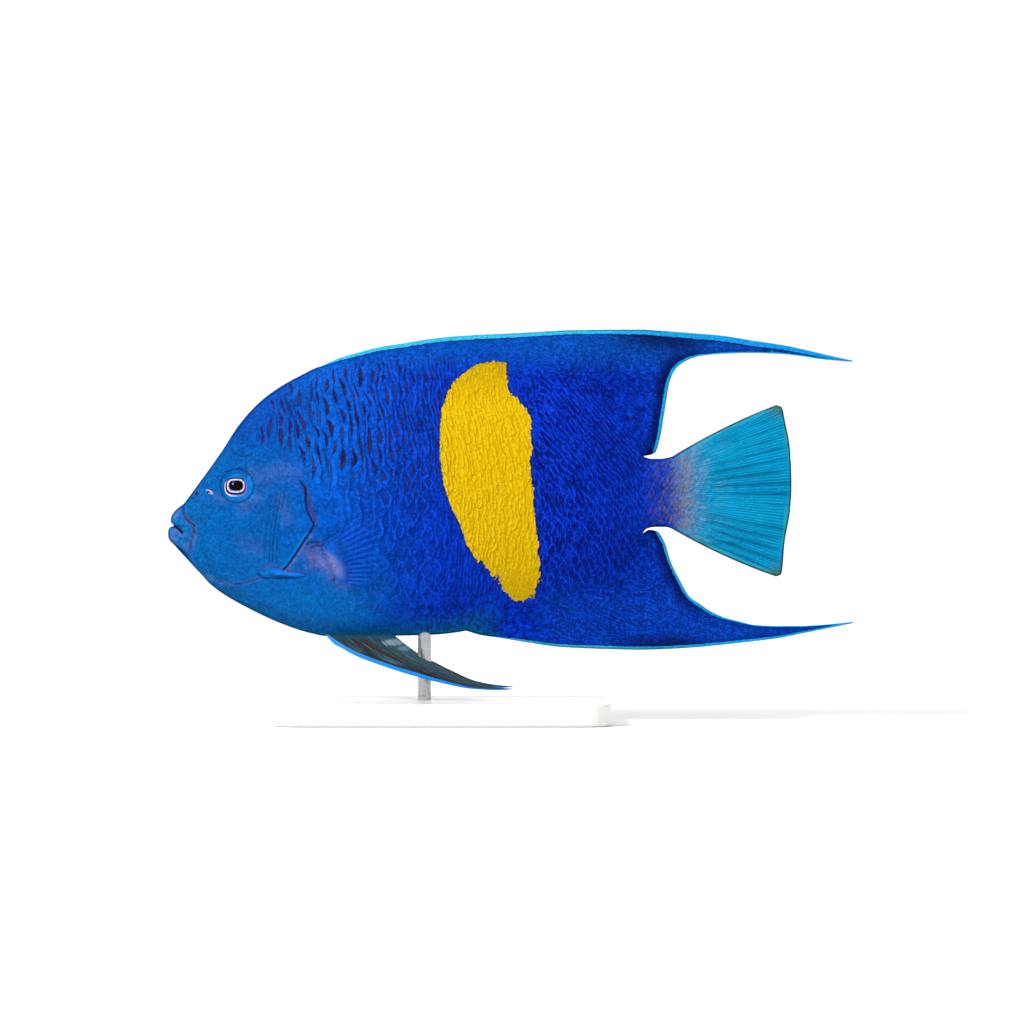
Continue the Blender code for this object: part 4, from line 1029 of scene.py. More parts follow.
scales = {
    "pitch": [(40, 4.6), (88, 4.6), (100, 4.2), (118, 3.3), (132, 2.85), (146, 2.5), (156, 2.1),
              (188, 2.1), (200, 2.1), (222, 1.8), (240, 1.5), (262, 1.35), (290, 1.45), (480, 1.5)],
    "height": [(40, 12.5), (92, 12.5), (108, 11.6), (125, 10.6), (145, 8.6), (158, 5.2), (188, 5.2),
               (200, 5.9), (222, 5.2), (240, 4.5), (262, 4.1), (300, 3.2), (362, 2.4)],
    "bendUp": [(40, 0.0022), (90, 0.0024), (150, 0.003), (195, 0.0055), (240, 0.006),
               (262, 0.003), (362, 0.0)],
    "bendDown": [(40, 0.001), (100, 0.001), (140, 0.002), (200, 0.0045), (240, 0.005),
                 (262, 0.003), (362, 0.0)],
    "shrinkUp": [(0, 1.0), (62, 1.0), (76, 0.8), (88, 0.5), (100, 0.38), (130, 0.34)],
    "shrinkDown": [(0, 1.0), (34, 1.0), (48, 0.78), (58, 0.55), (70, 0.38), (130, 0.34)],
    "step": 0.42, "barStep": 0.3, "sunk": 0.16, "crown": 0.1, "bulge": 1.3,
    "finePitch": 0.85, "fineHeight": 1.3, "fineStep": 0.17,
}
pitch, height = smoothLine(scales["pitch"]), smoothLine(scales["height"])
bendUp, bendDown = smoothLine(scales["bendUp"]), smoothLine(scales["bendDown"])
runBack = np.arange(0, 480, 0.5)
runCount = np.r_[0, np.cumsum(0.5 / pitch(runBack[:-1] + 0.25))]
runQ = np.arange(0, 130, 0.5)
runUp, runDown = (np.r_[0, np.cumsum(0.5 / smoothLine(scales[name])(runQ[:-1] + 0.25))]
                  for name in ("shrinkUp", "shrinkDown"))


warps = [(rng.uniform(0, 2 * math.pi), rng.uniform(2.1, 5.5), rng.uniform(0, 2 * math.pi, 2))
         for _ in range(10)]


def warp(column, row):
    # bends the rows and columns a little, alike for all that lies on them
    a, b = np.zeros(np.shape(column)), np.zeros(np.shape(column))
    for turn, length, start in warps:
        at = 2 * math.pi * (column * math.cos(turn) + row * math.sin(turn)) / length
        a = a + np.sin(at + start[0])
        b = b + np.sin(at + start[1])
    return column + 0.1 * a, row + 0.05 * b


def bodyPlace(column, row):
    # place (back, q) of a lattice point counted in columns and rows
    column, row = warp(column, row)
    straight = np.interp(column, runCount, runBack)
    back = straight.copy()
    for _ in range(12):
        reach = np.abs(row) * height(back)
        q = np.where(row > 0, np.interp(reach, runUp, runQ), -np.interp(reach, runDown, runQ))
        bend = np.where(q > 0, bendUp(back), bendDown(back))
        back = 0.5 * back + 0.5 * (straight - bend * q * q / np.sqrt(1 + (q / 62) ** 4))
    wave = np.sin(q / 5.1 + back / 9.0) + 0.8 * np.sin(q / 2.7 + back / 4.3 + 1.3)
    lean = np.sin(q / 6.3 + back / 5.2 + 0.7) + 0.7 * np.sin(q / 3.1 - back / 3.7)
    return back + 0.1 * pitch(back) * wave, q + 0.05 * height(back) * lean


def finePlace(column, row):
    q = row * scales["fineHeight"]
    back = column * scales["finePitch"] - 0.002 * q * q + 0.8 * np.sin(q / 9.0)
    return back + 0.16 * np.sin(q / 1.9 + back / 2.3), q + 0.16 * np.sin(back / 1.7 + q / 2.9)


def gillLine(q):
    # where the big scales begin behind the head
    return np.interp(q, [-80, -60, -45, -30, -15, 0, 12, 20, 26, 31, 36, 44, 60, 80],
                     [96, 92, 92, 92, 91, 88, 83, 78, 72, 63, 54, 45, 44, 54])


def readUp(back, q):
    return unrolled.look(unrolled.up, back, q)


def onSkin(back, q):
    return unrolled.look(unrolled.valid, back, q) > 0.5


def fineZone(back, q):
    # face, breast, belly and the front of the dorsal fin carry small scales
    up = readUp(back, q)
    face = back <= gillLine(q) + 1.5
    belly = (q < -57) & (back < 172)
    crest = (up > line["backLine"](back) - 1.0) & (back > 70) & (back < 206)
    keel = (up < line["bellyLine"](back) + 1.0) & (back > 150) & (back < 206)
    return face | belly | crest | keel


def bigZone(back, q):
    up = readUp(back, q)
    face = back <= gillLine(q)
    belly = (q < -59) & (back < 170)
    crest = (up > line["backLine"](back)) & (back > 70) & (back < 204)
    keel = (up < line["bellyLine"](back)) & (back > 150) & (back < 204)
    tailEnd = 284 + 4 * np.sin(q * 1.1) + 2 * np.sin(q * 2.9)
    onTail = (tailMask(back, up) > 0) & (back > tailEnd)
    return ~(face | belly | crest | keel | onTail)


def within(zone, low, high):
    return lambda back, q: (back >= low) & (back < high) & onSkin(back, q) & zone(back, q)


def reachOf(back, q):
    netted = fade(back, 96, 116) * fade(152 - back, 0, 10) * fade(30 - q, 0, 18)
    behind = 0.8 * fade(back, 190, 200)
    shoulder = 0.22 * fade(128 - back, 0, 22) * fade(q, -10, 20)
    onBar = 0.12 * fade(back, 150, 158) * fade(196 - back, 0, 8)
    return np.clip(0.4 - shoulder - onBar + 0.55 * netted + (behind - 0.4) * (behind > 0.4), 0.15, 0.95)


# how strongly a big scale shows the painted highlight and shade within it
def netStrength(back, q):
    shoulder = 0.25 * fade(back, 84, 100)
    netted = 0.9 * fade(back, 98, 116) * fade(34 - q, 0, 20)
    upper = 0.5 * fade(back, 110, 140)
    value = np.maximum(np.maximum(shoulder, 0.66 * netted), upper)
    value = np.maximum(value, 1.0 * fade(back, 190, 197))
    value *= mix(1.0, 0.6, fade(readUp(back, q) - line["backLine"](back), -14, 2))
    value *= mix(1.0, 0.55, fade(-q, 48, 62) * fade(190 - back, 0, 20))
    return value * rng.uniform(0.5, 1.35, len(back))


# where the painted shadow dashes show on the big scales, and how strongly
def dashStrength(back, q):
    long = fade(back, 42, 48) * fade(134 - back, 0, 22) * fade(q, 4, 20)
    short = 0.8 * fade(back, 96, 112) * fade(156 - back, 0, 8) * fade(q, -8, 14)
    return np.maximum(long, short) * fade(86 - q, 0, 8) * rng.uniform(0.75, 1.15, len(back))


def spotStrength(back, q):
    # orange-brown spots on the scales of the tail stalk
    zone = fade(back, 250, 262) * fade(281 - back, 0, 7) * (np.abs(q) < 24)
    return zone * rng.uniform(0.1, 1.05, len(back))


def clearOf(back, up):
    # True where no crease, eye, nostril, spine or lip keeps the scales away
    free = np.ones(len(back), bool)
    near = back < 100
    b, u = seen(back[near], up[near], fleshHalf(back[near], up[near]))
    ok = np.ones(len(b), bool)
    for points, width, depth in creases[:openCreases]:
        ok &= lineDistance(b, u, points) > width + 0.3
    ok &= np.hypot((b - 36.2) / 7.9, (u - 124.2) / 6.9) > 1.0
    for pb, pu, radius, depth in pits:
        ok &= np.hypot(b - pb, u - pu) > radius + 1.0
    lipBack = np.interp(u, [80, 86, 92, 96, 99, 103.5, 105.1, 106.3, 109, 114, 116, 118],
                        [12.4, 12.4, 12.8, 13.2, 14.0, 15.0, 14.2, 11.6, 10.0, 9.2, 9.2, 9.2])
    ok &= b > lipBack + 0.4
    ok &= ~insideOf(b, u, [tuple(p) for p in spineTop] + [tuple(p) for p in spineLow[::-1]])
    ok &= np.hypot((b - 86.0) / 5.0, (u - 83.0) / 9.0) > 1.0
    free[near] = ok
    return free


def layScales(name, material, placing, keep, across, deep, step, reach, sizes):
    # one joined mesh of closed plates on both sides, with its values and its unwrap
    fineLattice = placing is finePlace
    if fineLattice:
        columns, rows = (0, int(330 / scales["finePitch"])), int(112 / scales["fineHeight"])
    else:
        columns, rows = (int(runCount[60]), int(runCount[-60])), 130
    grids = [(np.full(2 * rows, float(i)), np.arange(-rows, rows) + (0.5 if i % 2 else 0.0))
             for i in range(*columns)]
    u, v = (np.concatenate(part) for part in zip(*grids))
    u += rng.normal(0, 0.11, len(u))
    v += rng.normal(0, 0.07, len(v))
    back, q = placing(u, v)
    ok = (back > 5) & (back < 361) & (np.abs(q) < 122)
    u, v, back, q = u[ok], v[ok], back[ok], q[ok]
    ok = keep(back, q)
    u, v, back, q = u[ok], v[ok], back[ok], q[ok]
    up = readUp(back, q)
    ok = clearOf(back, up) & (rimBand(back, up) > 1.12)
    u, v, back, q, up = u[ok], v[ok], back[ok], q[ok], up[ok]
    count = len(u)
    w, t = (part.ravel() for part in np.meshgrid(
        np.linspace(-1, 1, across), np.linspace(0, 1, deep), indexing="ij"))
    amp = (reach(back, q) * rng.uniform(0.65, 1.15, count))[:, None]
    side, bulge = np.abs(w), scales["bulge"]
    rear = 0.5 + amp * (0.5 - side ** bulge)
    length = 1.22 + amp * ((1 - side) ** bulge - side ** bulge)
    du = rear - length * (1 - t)
    dv = 0.5 * w * np.ones((count, 1))
    pb, pq = placing(u[:, None] + du, v[:, None] + dv)
    lift = rng.uniform(0.6, 1.35, (count, 1)) * step
    out = lift * (du + 1) - scales["sunk"] * step / 0.3
    out += scales["crown"] * (step / 0.3) * (1 - w ** 2) * t
    out *= sizes(back, q)[:, None]
    upPlace, half, normal = (unrolled.look(table, pb, pq)
                             for table in (unrolled.up, unrolled.half, unrolled.normal))
    normal /= np.linalg.norm(normal, axis=-1, keepdims=True)
    inner = outlineDistance(pb.ravel(), upPlace.ravel()).reshape(pb.shape)
    fits = (inner.min(1) > 0.12) & (half.min(1) > 0.1)
    pb, pq, upPlace, half, normal, out, du, rear, u, v, back, q, up = (
        a[fits] for a in (pb, pq, upPlace, half, normal, out, du, rear, u, v, back, q, up))
    count = len(u)
    points = np.stack([pb + normal[..., 0] * out, half + normal[..., 1] * out,
                       upPlace + normal[..., 2] * out], -1)
    # the underside closes to one point below the skin
    under = points.mean(1) - normal.mean(1) * (0.35 * step / 0.3 + 0.1)
    points = np.concatenate([points, under[:, None, :]], 1)
    each = across * deep + 1
    index = np.arange(across * deep).reshape(across, deep)
    top = []
    for i in range(across - 1):
        for j in range(deep - 1):
            a, b, c, d = index[i, j], index[i + 1, j], index[i + 1, j + 1], index[i, j + 1]
            top += [(a, b, c), (a, c, d)]
    ring = [index[i, 0] for i in range(across)] + [index[across - 1, j] for j in range(1, deep)]
    ring += [index[i, deep - 1] for i in range(across - 2, -1, -1)]
    ring += [index[0, j] for j in range(deep - 2, 0, -1)]
    below = [(ring[k], each - 1, ring[(k + 1) % len(ring)]) for k in range(len(ring))]
    faces = np.array(top + below)
    first = points[0]
    a, b, c = first[faces[0]]
    if np.cross(b - a, c - a) @ normal[0, 0] < 0:
        faces = faces[:, ::-1]
    sideFaces = (faces[None] + (np.arange(count) * each)[:, None, None]).reshape(-1, 3)
    flat = points.reshape(-1, 3)
    # left is -Y in the model, so the faces turn round there
    allPoints = np.concatenate([onSide(flat, -1), onSide(flat, 1)])
    allFaces = np.concatenate([sideFaces[:, ::-1], sideFaces + len(flat)])
    thing = addObject(name, allPoints, allFaces, material)
    mesh = thing.data
    # unwrap: each plate a small patch at its root's place
    placeU = 0.01 + 0.47 * (pb.mean(1) - 4) / 358
    placeV = 0.01 + 0.97 * (pq.mean(1) + 125) / 250
    patchU = np.r_[0.003 * (t - 0.5), 0.0022]
    patchV = np.r_[0.0015 * w, 0.0]
    uvs = np.stack([placeU[:, None] + patchU, placeV[:, None] + patchV], -1).reshape(-1, 2)
    uvs = np.concatenate([uvs, uvs + [0.5, 0.0]])
    layer = mesh.uv_layers.new(name="OFBake")
    corner = np.empty(len(mesh.loops), np.int32)
    mesh.loops.foreach_get("vertex_index", corner)
    layer.data.foreach_set("uv", uvs[corner].astype(np.float32).ravel())

    def spread(values):
        # one value a plate, or one a point, for all points of both sides
        if values.ndim == 1:
            values = np.repeat(values[:, None], each, 1)
        return np.tile(values.ravel(), 2)

    end = np.ones((count, 1))
    mark(thing, {
        "edge": spread(np.concatenate([rear - du, end], 1)),
        "across": spread(np.concatenate([w * end, 0 * end], 1)),
        "heart": spread(np.concatenate([np.hypot(du / 0.8, w), end], 1)),
        "tone": spread(rng.uniform(0, 1, count)),
        "net": spread(0.35 + 0 * back if fineLattice else netStrength(back, q)),
        "dash": spread(0 * back if fineLattice else dashStrength(back, q)),
        "spot": spread(0 * back if fineLattice else spotStrength(back, q))})
    # the bar's borders follow whole scales, most of all behind and below
    whole = spread(marks(back, up)["bar"])
    share = 0.1 + 0.45 * (back > 172) + 0.5 * (up < 88) * (back > 158)
    current = np.empty(len(mesh.vertices), np.float32)
    mesh.attributes["bar"].data.foreach_get("value", current)
    setAttribute(mesh, "bar", mix(current, whole, spread(np.clip(share, 0, 0.9))))
    smoothShade(thing, 40)
    register(thing, "scaled_skin")
    print(name + ":", count, "scales a side,", len(allFaces), "triangles")


def plateSize(back, q):
    inner = outlineDistance(back, readUp(back, q))
    return mix(0.4, 1.0, fade(inner, 1.0, 14)) * mix(1.0, 0.6, fade(back, 235, 262))


def fineReach(back, q):
    return np.full(np.shape(back), 0.8)


def fineSize(back, q):
    return np.full(np.shape(back), 1.0)


print("laying the scales")
coat = fishLook("Scales", 1.0)
for name, placing, zone, low, high, across, deep in (
        ("scales_shoulder", bodyPlace, bigZone, 40, 150, 9, 6),
        ("scales_bar", bodyPlace, bigZone, 150, 200, 7, 5),
        ("scales_behind_bar", bodyPlace, bigZone, 200, 244, 5, 4),
        ("scales_rear", bodyPlace, bigZone, 244, 280, 3, 4),
        ("scales_streamers", bodyPlace, bigZone, 280, 361, 3, 3),
        ("scales_face", finePlace, fineZone, 5, 62, 3, 3),
        ("scales_breast", finePlace, fineZone, 62, 210, 3, 3)):
    isFine = placing is finePlace
    layScales(name, coat, placing, within(zone, low, high), across, deep,
              scales["fineStep" if isFine else "barStep" if name == "scales_bar" else "step"],
              fineReach if isFine else reachOf, fineSize if isFine else plateSize)


# Eyes: a ball with a raised pale ring round the pupil and a painted highlight on it, and a lid round the
# opening

rings = {       # rounded squares as (middle, half sizes); the last is a painted highlight on the pupil
    "pupil": ((36.3, 125.25), (3.75, 2.8)), "inner": ((36.3, 125.15), (4.65, 3.68)),
    "innerEdge": ((36.3, 125.15), (4.95, 3.95)), "gap": ((36.2, 124.7), (5.4, 4.42)),
    "outer": ((36.2, 124.3), (6.0, 4.95)), "paintedGlint": ((34.7, 126.2), (0.5, 0.42))}
ringPower, lidPower = 2.7, 2.6


def roundSquare(back, up, name):
    # 1 on the border of a ring, for numbers and for a material's values alike
    at, half = rings[name]
    return (abs((back - at[0]) / half[0]) ** ringPower
            + abs((up - at[1]) / half[1]) ** ringPower) ** (1 / ringPower)


def flankPoint(back, up):
    return np.array([back, float(fleshHalf(np.array([back]), np.array([up]))[0]), up])


def flankFrame(back, up):
    # axes (along, up, out) and the place on the flesh, as (back, out, up)
    a = flankPoint(back + 1, up) - flankPoint(back - 1, up)
    b = flankPoint(back, up + 1) - flankPoint(back, up - 1)
    out = np.cross(b, a)
    out *= np.sign(out[1]) / np.linalg.norm(out)
    a /= np.linalg.norm(a)
    rise = np.cross(a, out)
    return a, rise * np.sign(rise[2]), out, flankPoint(back, up)


def eyeLook():
    look = Look("Eye")
    x, y, z = look.split()
    grow = abs(y).times(1000 / cameraAway, 1.0)
    back = (x * grow).times(1000.0, middleBack)
    up = ((z - cameraUp * mm) * grow).times(1000.0, cameraUp)
    fine = look.noise(900.0, 3.0)
    streaks = (fine - 0.5) * 0.06
    outer, gap, innerEdge, inner, pupil = (
        roundSquare(back, up, name) + streaks for name in ("outer", "gap", "innerEdge", "inner", "pupil"))
    pale = look.blend(fine.fade(0.35, 0.7), (166, 154, 182), (208, 200, 216))
    whole = look.layers(
        look.blend(back.fade(33.0, 39.0), (190, 182, 212), (118, 120, 186)),
        (outer.fade(0.97, 1.02), (4, 14, 52)), (outer.fade(1.05, 1.11), (4, 96, 184)),
        (gap.fade(1.04, 0.97), (10, 22, 104)), (innerEdge.fade(1.05, 0.98), (6, 8, 40)),
        (inner.fade(1.05, 0.97), pale), (pupil.fade(1.04, 0.98), (4, 2, 12)),
        # a painted highlight: a pale spot on the upper left of the pupil
        (roundSquare(back, up, "paintedGlint").fade(1.25, 0.6, 0.0, 0.75), (150, 168, 208)))
    look.set(Base_Color=whole, Roughness=fine.fade(0.2, 0.8, 0.08, 0.12), Specular_IOR_Level=0.07)
    return look.material


def buildEyes():
    # places and faces of the left eyeball
    bpy.ops.object.select_all(action="DESELECT")
    bpy.ops.mesh.primitive_uv_sphere_add(segments=112, ring_count=72, radius=1.0)
    ball = bpy.context.object
    faces = [tuple(f.vertices) for f in ball.data.polygons]
    x, y, z = (placesOf(ball.data) * [eye["radius"], eye["radius"], eye["bulge"]]).T[:, :, None]
    bpy.data.objects.remove(ball, do_unlink=True)
    along, rise, out, spot = flankFrame(*placed([eye["at"]])[0])
    local = spot + x * along + y * rise + (z - eye["sink"]) * out
    b, u = seen(local[:, 0], local[:, 2], local[:, 1])
    inner, pupil, gap, outer = (roundSquare(b, u, name) for name in ("inner", "pupil", "gap", "outer"))
    swell = fade(pupil, 0.98, 1.1) * fade(1.04 - inner, 0, 0.1) + fade(gap, 0.97, 1.06) * fade(
        1.03 - outer, 0, 0.1)
    return local + eye["swell"] * swell[:, None] * (z > 0) * out, faces


def finishPiece(piece, material, slot, *nodes, angle=60):
    piece.data.materials.append(material)
    smoothShade(piece, angle)
    return register(piece, slot, *nodes)


print("eyes")
eyeMaterial = eyeLook()
local, faces = buildEyes()
for side, name in ((-1, "left"), (1, "right")):
    piece = addObject("eyeball_" + name, onSide(local, side), faces)
    cleanMesh(piece)
    finishPiece(piece, eyeMaterial, "eye", "eye_" + name)


def lidLook():
    look = Look("Eyelid")
    back, up = look.backUp()
    fine = look.noise(900.0, 3.0)
    tint = look.layers(
        look.blend((back - up).fade(-91.0, -84.0), (4, 70, 128), (0, 116, 214)),
        (fine.fade(0.45, 0.75, 0.0, 0.4), (50, 70, 130)), (up.fade(127.6, 129.0, 0.0, 0.6), (20, 34, 80)))
    look.set(Base_Color=tint, Roughness=fine.fade(0.2, 0.8, 0.35, 0.5), Specular_IOR_Level=0.08)
    look.bump(fine, 0.6, 0.0003)
    return look.material


def tube(path, radii, sides, closed=True):
    # points and faces of a tube along a path of (back, out, up) points
    count = len(path)
    ahead = (np.roll(path, -1, 0) - np.roll(path, 1, 0)) if closed else np.gradient(path, axis=0)
    ahead /= np.linalg.norm(ahead, axis=1, keepdims=True)
    across = np.cross(ahead, [0, 1.0, 0])
    across /= np.linalg.norm(across, axis=1, keepdims=True)
    lift = np.cross(across, ahead)
    turn = np.linspace(0, 2 * math.pi, sides, endpoint=False)[None, :, None]
    radii = np.broadcast_to(radii, (count, 2))[:, None]
    points = (path[:, None] + radii[..., :1] * np.cos(turn) * across[:, None]
              + radii[..., 1:] * np.sin(turn) * lift[:, None]).reshape(-1, 3)
    faces = []
    for i in range(count if closed else count - 1):
        n = (i + 1) % count
        for k in range(sides):
            m = (k + 1) % sides
            faces.append((i * sides + k, i * sides + m, n * sides + m, n * sides + k))
    if not closed:
        faces += [tuple(range(sides)), tuple(range((count - 1) * sides, count * sides))[::-1]]
    return points, faces


def bothSides(name, points, faces, material, slot, *nodes, angle=60):
    count = len(points)
    whole = np.concatenate([onSide(points, side) for side in (-1, 1)])
    piece = addObject(name, whole, list(faces) + [tuple(i + count for i in f[::-1]) for f in faces])
    cleanMesh(piece)
    return finishPiece(piece, material, slot, *nodes, angle=angle)


def lidPath():
    # the lid rests on the ball, so its depth follows the ball's surface
    turn = np.linspace(0, 2 * math.pi, 96, endpoint=False)
    corner = (np.abs(np.cos(turn)) ** lidPower + np.abs(np.sin(turn)) ** lidPower) ** (-1 / lidPower)
    shown = np.stack([eye["apertureAt"][k] + (eye["aperture"][k] + eye["lidOut"]) * corner * wave(turn)
                      for k, wave in enumerate((np.cos, np.sin))], 1)
    along, rise, out, spot = flankFrame(*placed([eye["at"]])[0])
    depth, goal = 0, placed(shown)
    for _ in range(6):
        x = (goal[:, 0] - spot[0] - depth * out[0]) / along[0]
        y = (goal[:, 1] - spot[2] - depth * out[2] - x * along[2]) / rise[2]
        depth = eye["bulge"] * np.sqrt(np.clip(1 - (x * x + y * y) / eye["radius"] ** 2, 0, 1)) - eye["sink"]
        path = spot + x[:, None] * along + y[:, None] * rise + (depth + 0.1)[:, None] * out
        goal = unseen(shown, path[:, 1])
    return path


bothSides("eyelids", *tube(lidPath(), (0.36, 0.44), 14), lidLook(), "head_skin")


# Nostril flaps: a small curled lip behind each rear nostril

print("nostrils and cheek spines")


def flapLook():
    look = Look("Nostril flap")
    tint = look.noise(1400.0, 3.0)
    look.set(Base_Color=look.ramp(tint, (0.3, (150, 128, 158)), (0.72, (226, 208, 214))),
             Roughness=tint.fade(0.2, 0.8, 0.4, 0.6), Specular_IOR_Level=0.1)
    look.bump(tint, 0.5, 0.0002)
    return look.material


def flapTube():
    path = placed(walk([(20.5, 122.6), (21.4, 122.9), (22.5, 122.5), (23.6, 121.8), (24.1, 121.0),
                        (23.2, 121.0), (22.0, 121.3)], 26))
    swell = np.sin(np.linspace(0.05, math.pi - 0.05, 26)) * (1 + 0.25 * np.sin(np.arange(26) * 1.7))
    thick = 0.16 + 0.26 * swell
    path = np.stack([path[:, 0], skinHalf(path[:, 0], path[:, 1]) + 0.12, path[:, 1]], -1)
    return tube(path, np.stack([thick, thick * 1.2], 1), 10, False)


bothSides("nostril_flaps", *flapTube(), flapLook(), "head_skin")


# Cheek spines: flat blades from the corner of the cheek, lying over the throat

spine = {"proud": 1.15, "rows": 11, "columns": 34, "groove": 0.16}


def slabFaces(across, deep):
    # faces of two grids of points, one under the other, joined round their border
    count = across * deep
    faces = grid(across, deep) + [tuple(i + count for i in f[::-1]) for f in grid(across, deep)]
    border = [i * deep for i in range(across)] + [(across - 1) * deep + j for j in range(1, deep)]
    border += [i * deep + deep - 1 for i in range(across - 2, -1, -1)] + list(range(deep - 2, 0, -1))
    return faces + [(b, a, a + count, b + count) for a, b in zip(border, border[1:] + border[:1])]


def buildSpine():
    columns, rows = spine["columns"], spine["rows"]
    top, low = placed(walk(spineTop, columns)), placed(walk(spineLow, columns))
    middle = np.linspace(-1, 1, rows)
    points = []
    for k in range(columns):
        s = k / (columns - 1)
        chain = mix(top[k], low[k], np.linspace(0, 1, rows)[:, None])
        grow = fade(np.array(s), 0.0, 0.5) * mix(1.0, 0.62, s)
        out = skinHalf(chain[:, 0], chain[:, 1]) - 0.35 + 0.55 * fade(np.array(s), 0.55, 1.0)
        out = out + spine["proud"] * grow * (1 - np.abs(middle) ** 2.6)
        out = out - spine["groove"] * np.exp(-((middle - 0.35) / 0.16) ** 2) * grow
        points.append(np.stack([chain[:, 0], out, chain[:, 1]], 1))
    outer = np.concatenate(points)
    inner = outer.copy()
    inner[:, 1] -= np.where(outer[:, 0] > 62, 0.7, 0.9)
    return np.concatenate([outer, inner]), slabFaces(columns, rows)


def spineLook():
    look = Look("Cheek spine")
    back, up = look.backUp()
    fine = look.noise(900.0, 3.0)
    streak = look.noise(700.0, 3.0, where=look.stretch(0.16, 1.0, 1.0))
    high = up + back.times(0.13, fine * 1.2)
    tint = look.layers(
        look.ramp(streak, (0.3, (0, 84, 176)), (0.7, (2, 124, 222))),
        # brownish along the top edge, and painted shade along the lower edge of the blade
        (high.fade(89.6, 90.5, 0.0, 0.8), (64, 44, 88)), (high.fade(87.6, 85.9, 0.0, 0.85), (2, 44, 104)),
        (back.fade(60.0, 51.0, 0.0, 0.95), (4, 76, 152)))
    look.set(Base_Color=tint, Roughness=fine.fade(0.2, 0.8, 0.32, 0.5), Specular_IOR_Level=0.05)
    look.bump(streak, 0.5, 0.0003)
    return look.material


bothSides("cheek_spines", *buildSpine(), spineLook(), "head_skin", angle=50)


# Paired fins: thin closed sheets with a ridge along each ray

def sheet(spot, half, across, deep):
    # a closed slab round the places spot(u, v), for u across the rays and v along them
    u, v = (part.ravel() for part in np.meshgrid(
        np.linspace(0, 1, across), np.linspace(0, 1, deep), indexing="ij"))
    middle, step = spot(u, v), 0.004
    du = spot(np.clip(u + step, 0, 1), v) - spot(np.clip(u - step, 0, 1), v)
    dv = spot(u, np.clip(v + step, 0, 1)) - spot(u, np.clip(v - step, 0, 1))
    normal = np.cross(du, dv)
    length = np.linalg.norm(normal, axis=1, keepdims=True)
    normal = np.where(length > 1e-9, normal / np.maximum(length, 1e-9), [0, 1.0, 0])
    thick = half(u, v)[:, None]
    points = np.concatenate([middle + normal * thick, middle - normal * thick])
    return points, slabFaces(across, deep), np.tile(u, 2), np.tile(v, 2)


def finPieces(name, spot, half, across, deep, material, slot, lead=None):
    points, faces, u, v = sheet(spot, half, across, deep)
    for side, end in ((-1, "_left"), (1, "_right")):
        piece = addObject(name + end, onSide(points, side), faces)
        setAttribute(piece.data, "across", u)
        setAttribute(piece.data, "along", v)
        if lead is not None:
            at = alongLine(lead, v)
            setAttribute(piece.data, "lead", np.hypot(points[:, 0] - at[:, 0], points[:, 2] - at[:, 1]))
        cleanMesh(piece)
        finishPiece(piece, material, slot, slot + end, angle=50)


def alongLine(points, at):
    k = np.linspace(0, 1, len(points))
    return np.stack([np.interp(at, k, points[:, 0]), np.interp(at, k, points[:, 1])], -1)


def waves(u, count, shift, power):
    # ridges side by side, as sharp as the power says
    return np.maximum(0, np.cos(2 * math.pi * (u * count + shift))) ** power


pelvic = {
    "lead": [(80.8, 46.9), (84.5, 44.7), (91.3, 40.5), (100.3, 35.5), (112.5, 31.0), (125.2, 26.9),
             (146.3, 21.4), (160.6, 18.7), (175.9, 17.9), (182.9, 18.35)],
    "trail": [(116.9, 46.0), (120.6, 44.4), (124.4, 41.8), (129.6, 38.0), (135.6, 33.9), (136.2, 33.7),
              (149.5, 27.3), (163.8, 21.2), (175.9, 19.0), (182.9, 18.5)],
    "offset": 5.6, "splay": 0.3, "root": 1.3, "rays": 7, "bellyUp": 45.8,
}
pelvicLead, pelvicTrail = walk(pelvic["lead"], 200), walk(pelvic["trail"], 200)


def pelvicSpot(u, v):
    place = mix(alongLine(pelvicLead, v), alongLine(pelvicTrail, v), np.asarray(u)[..., None])
    wave = 0.35 * np.sin(u * 9 + v * 4) * v * (1 - v) * 4
    # the root runs up and in, into the belly
    side = mix(2.6, pelvic["offset"], fade(v, 0, 0.12)) + wave
    side = side + pelvic["splay"] * (pelvic["bellyUp"] - place[..., 1])
    return np.stack([place[..., 0], side, place[..., 1] + 2.6 * fade(0.08 - v, 0, 0.08)], -1)


def pelvicHalf(u, v):
    half = mix(pelvic["root"], 0.2, np.minimum(1.6 * v, 1) ** 0.6)
    ridges = 0.22 * waves(u, pelvic["rays"], -0.5, 3) + 0.07 * waves(u, pelvic["rays"] * 2, 0.2, 2)
    return half + (ridges + 0.34 * fade(0.1 - u, 0, 0.1)) * np.minimum(6 * v, 1) * (1 - 0.7 * v)


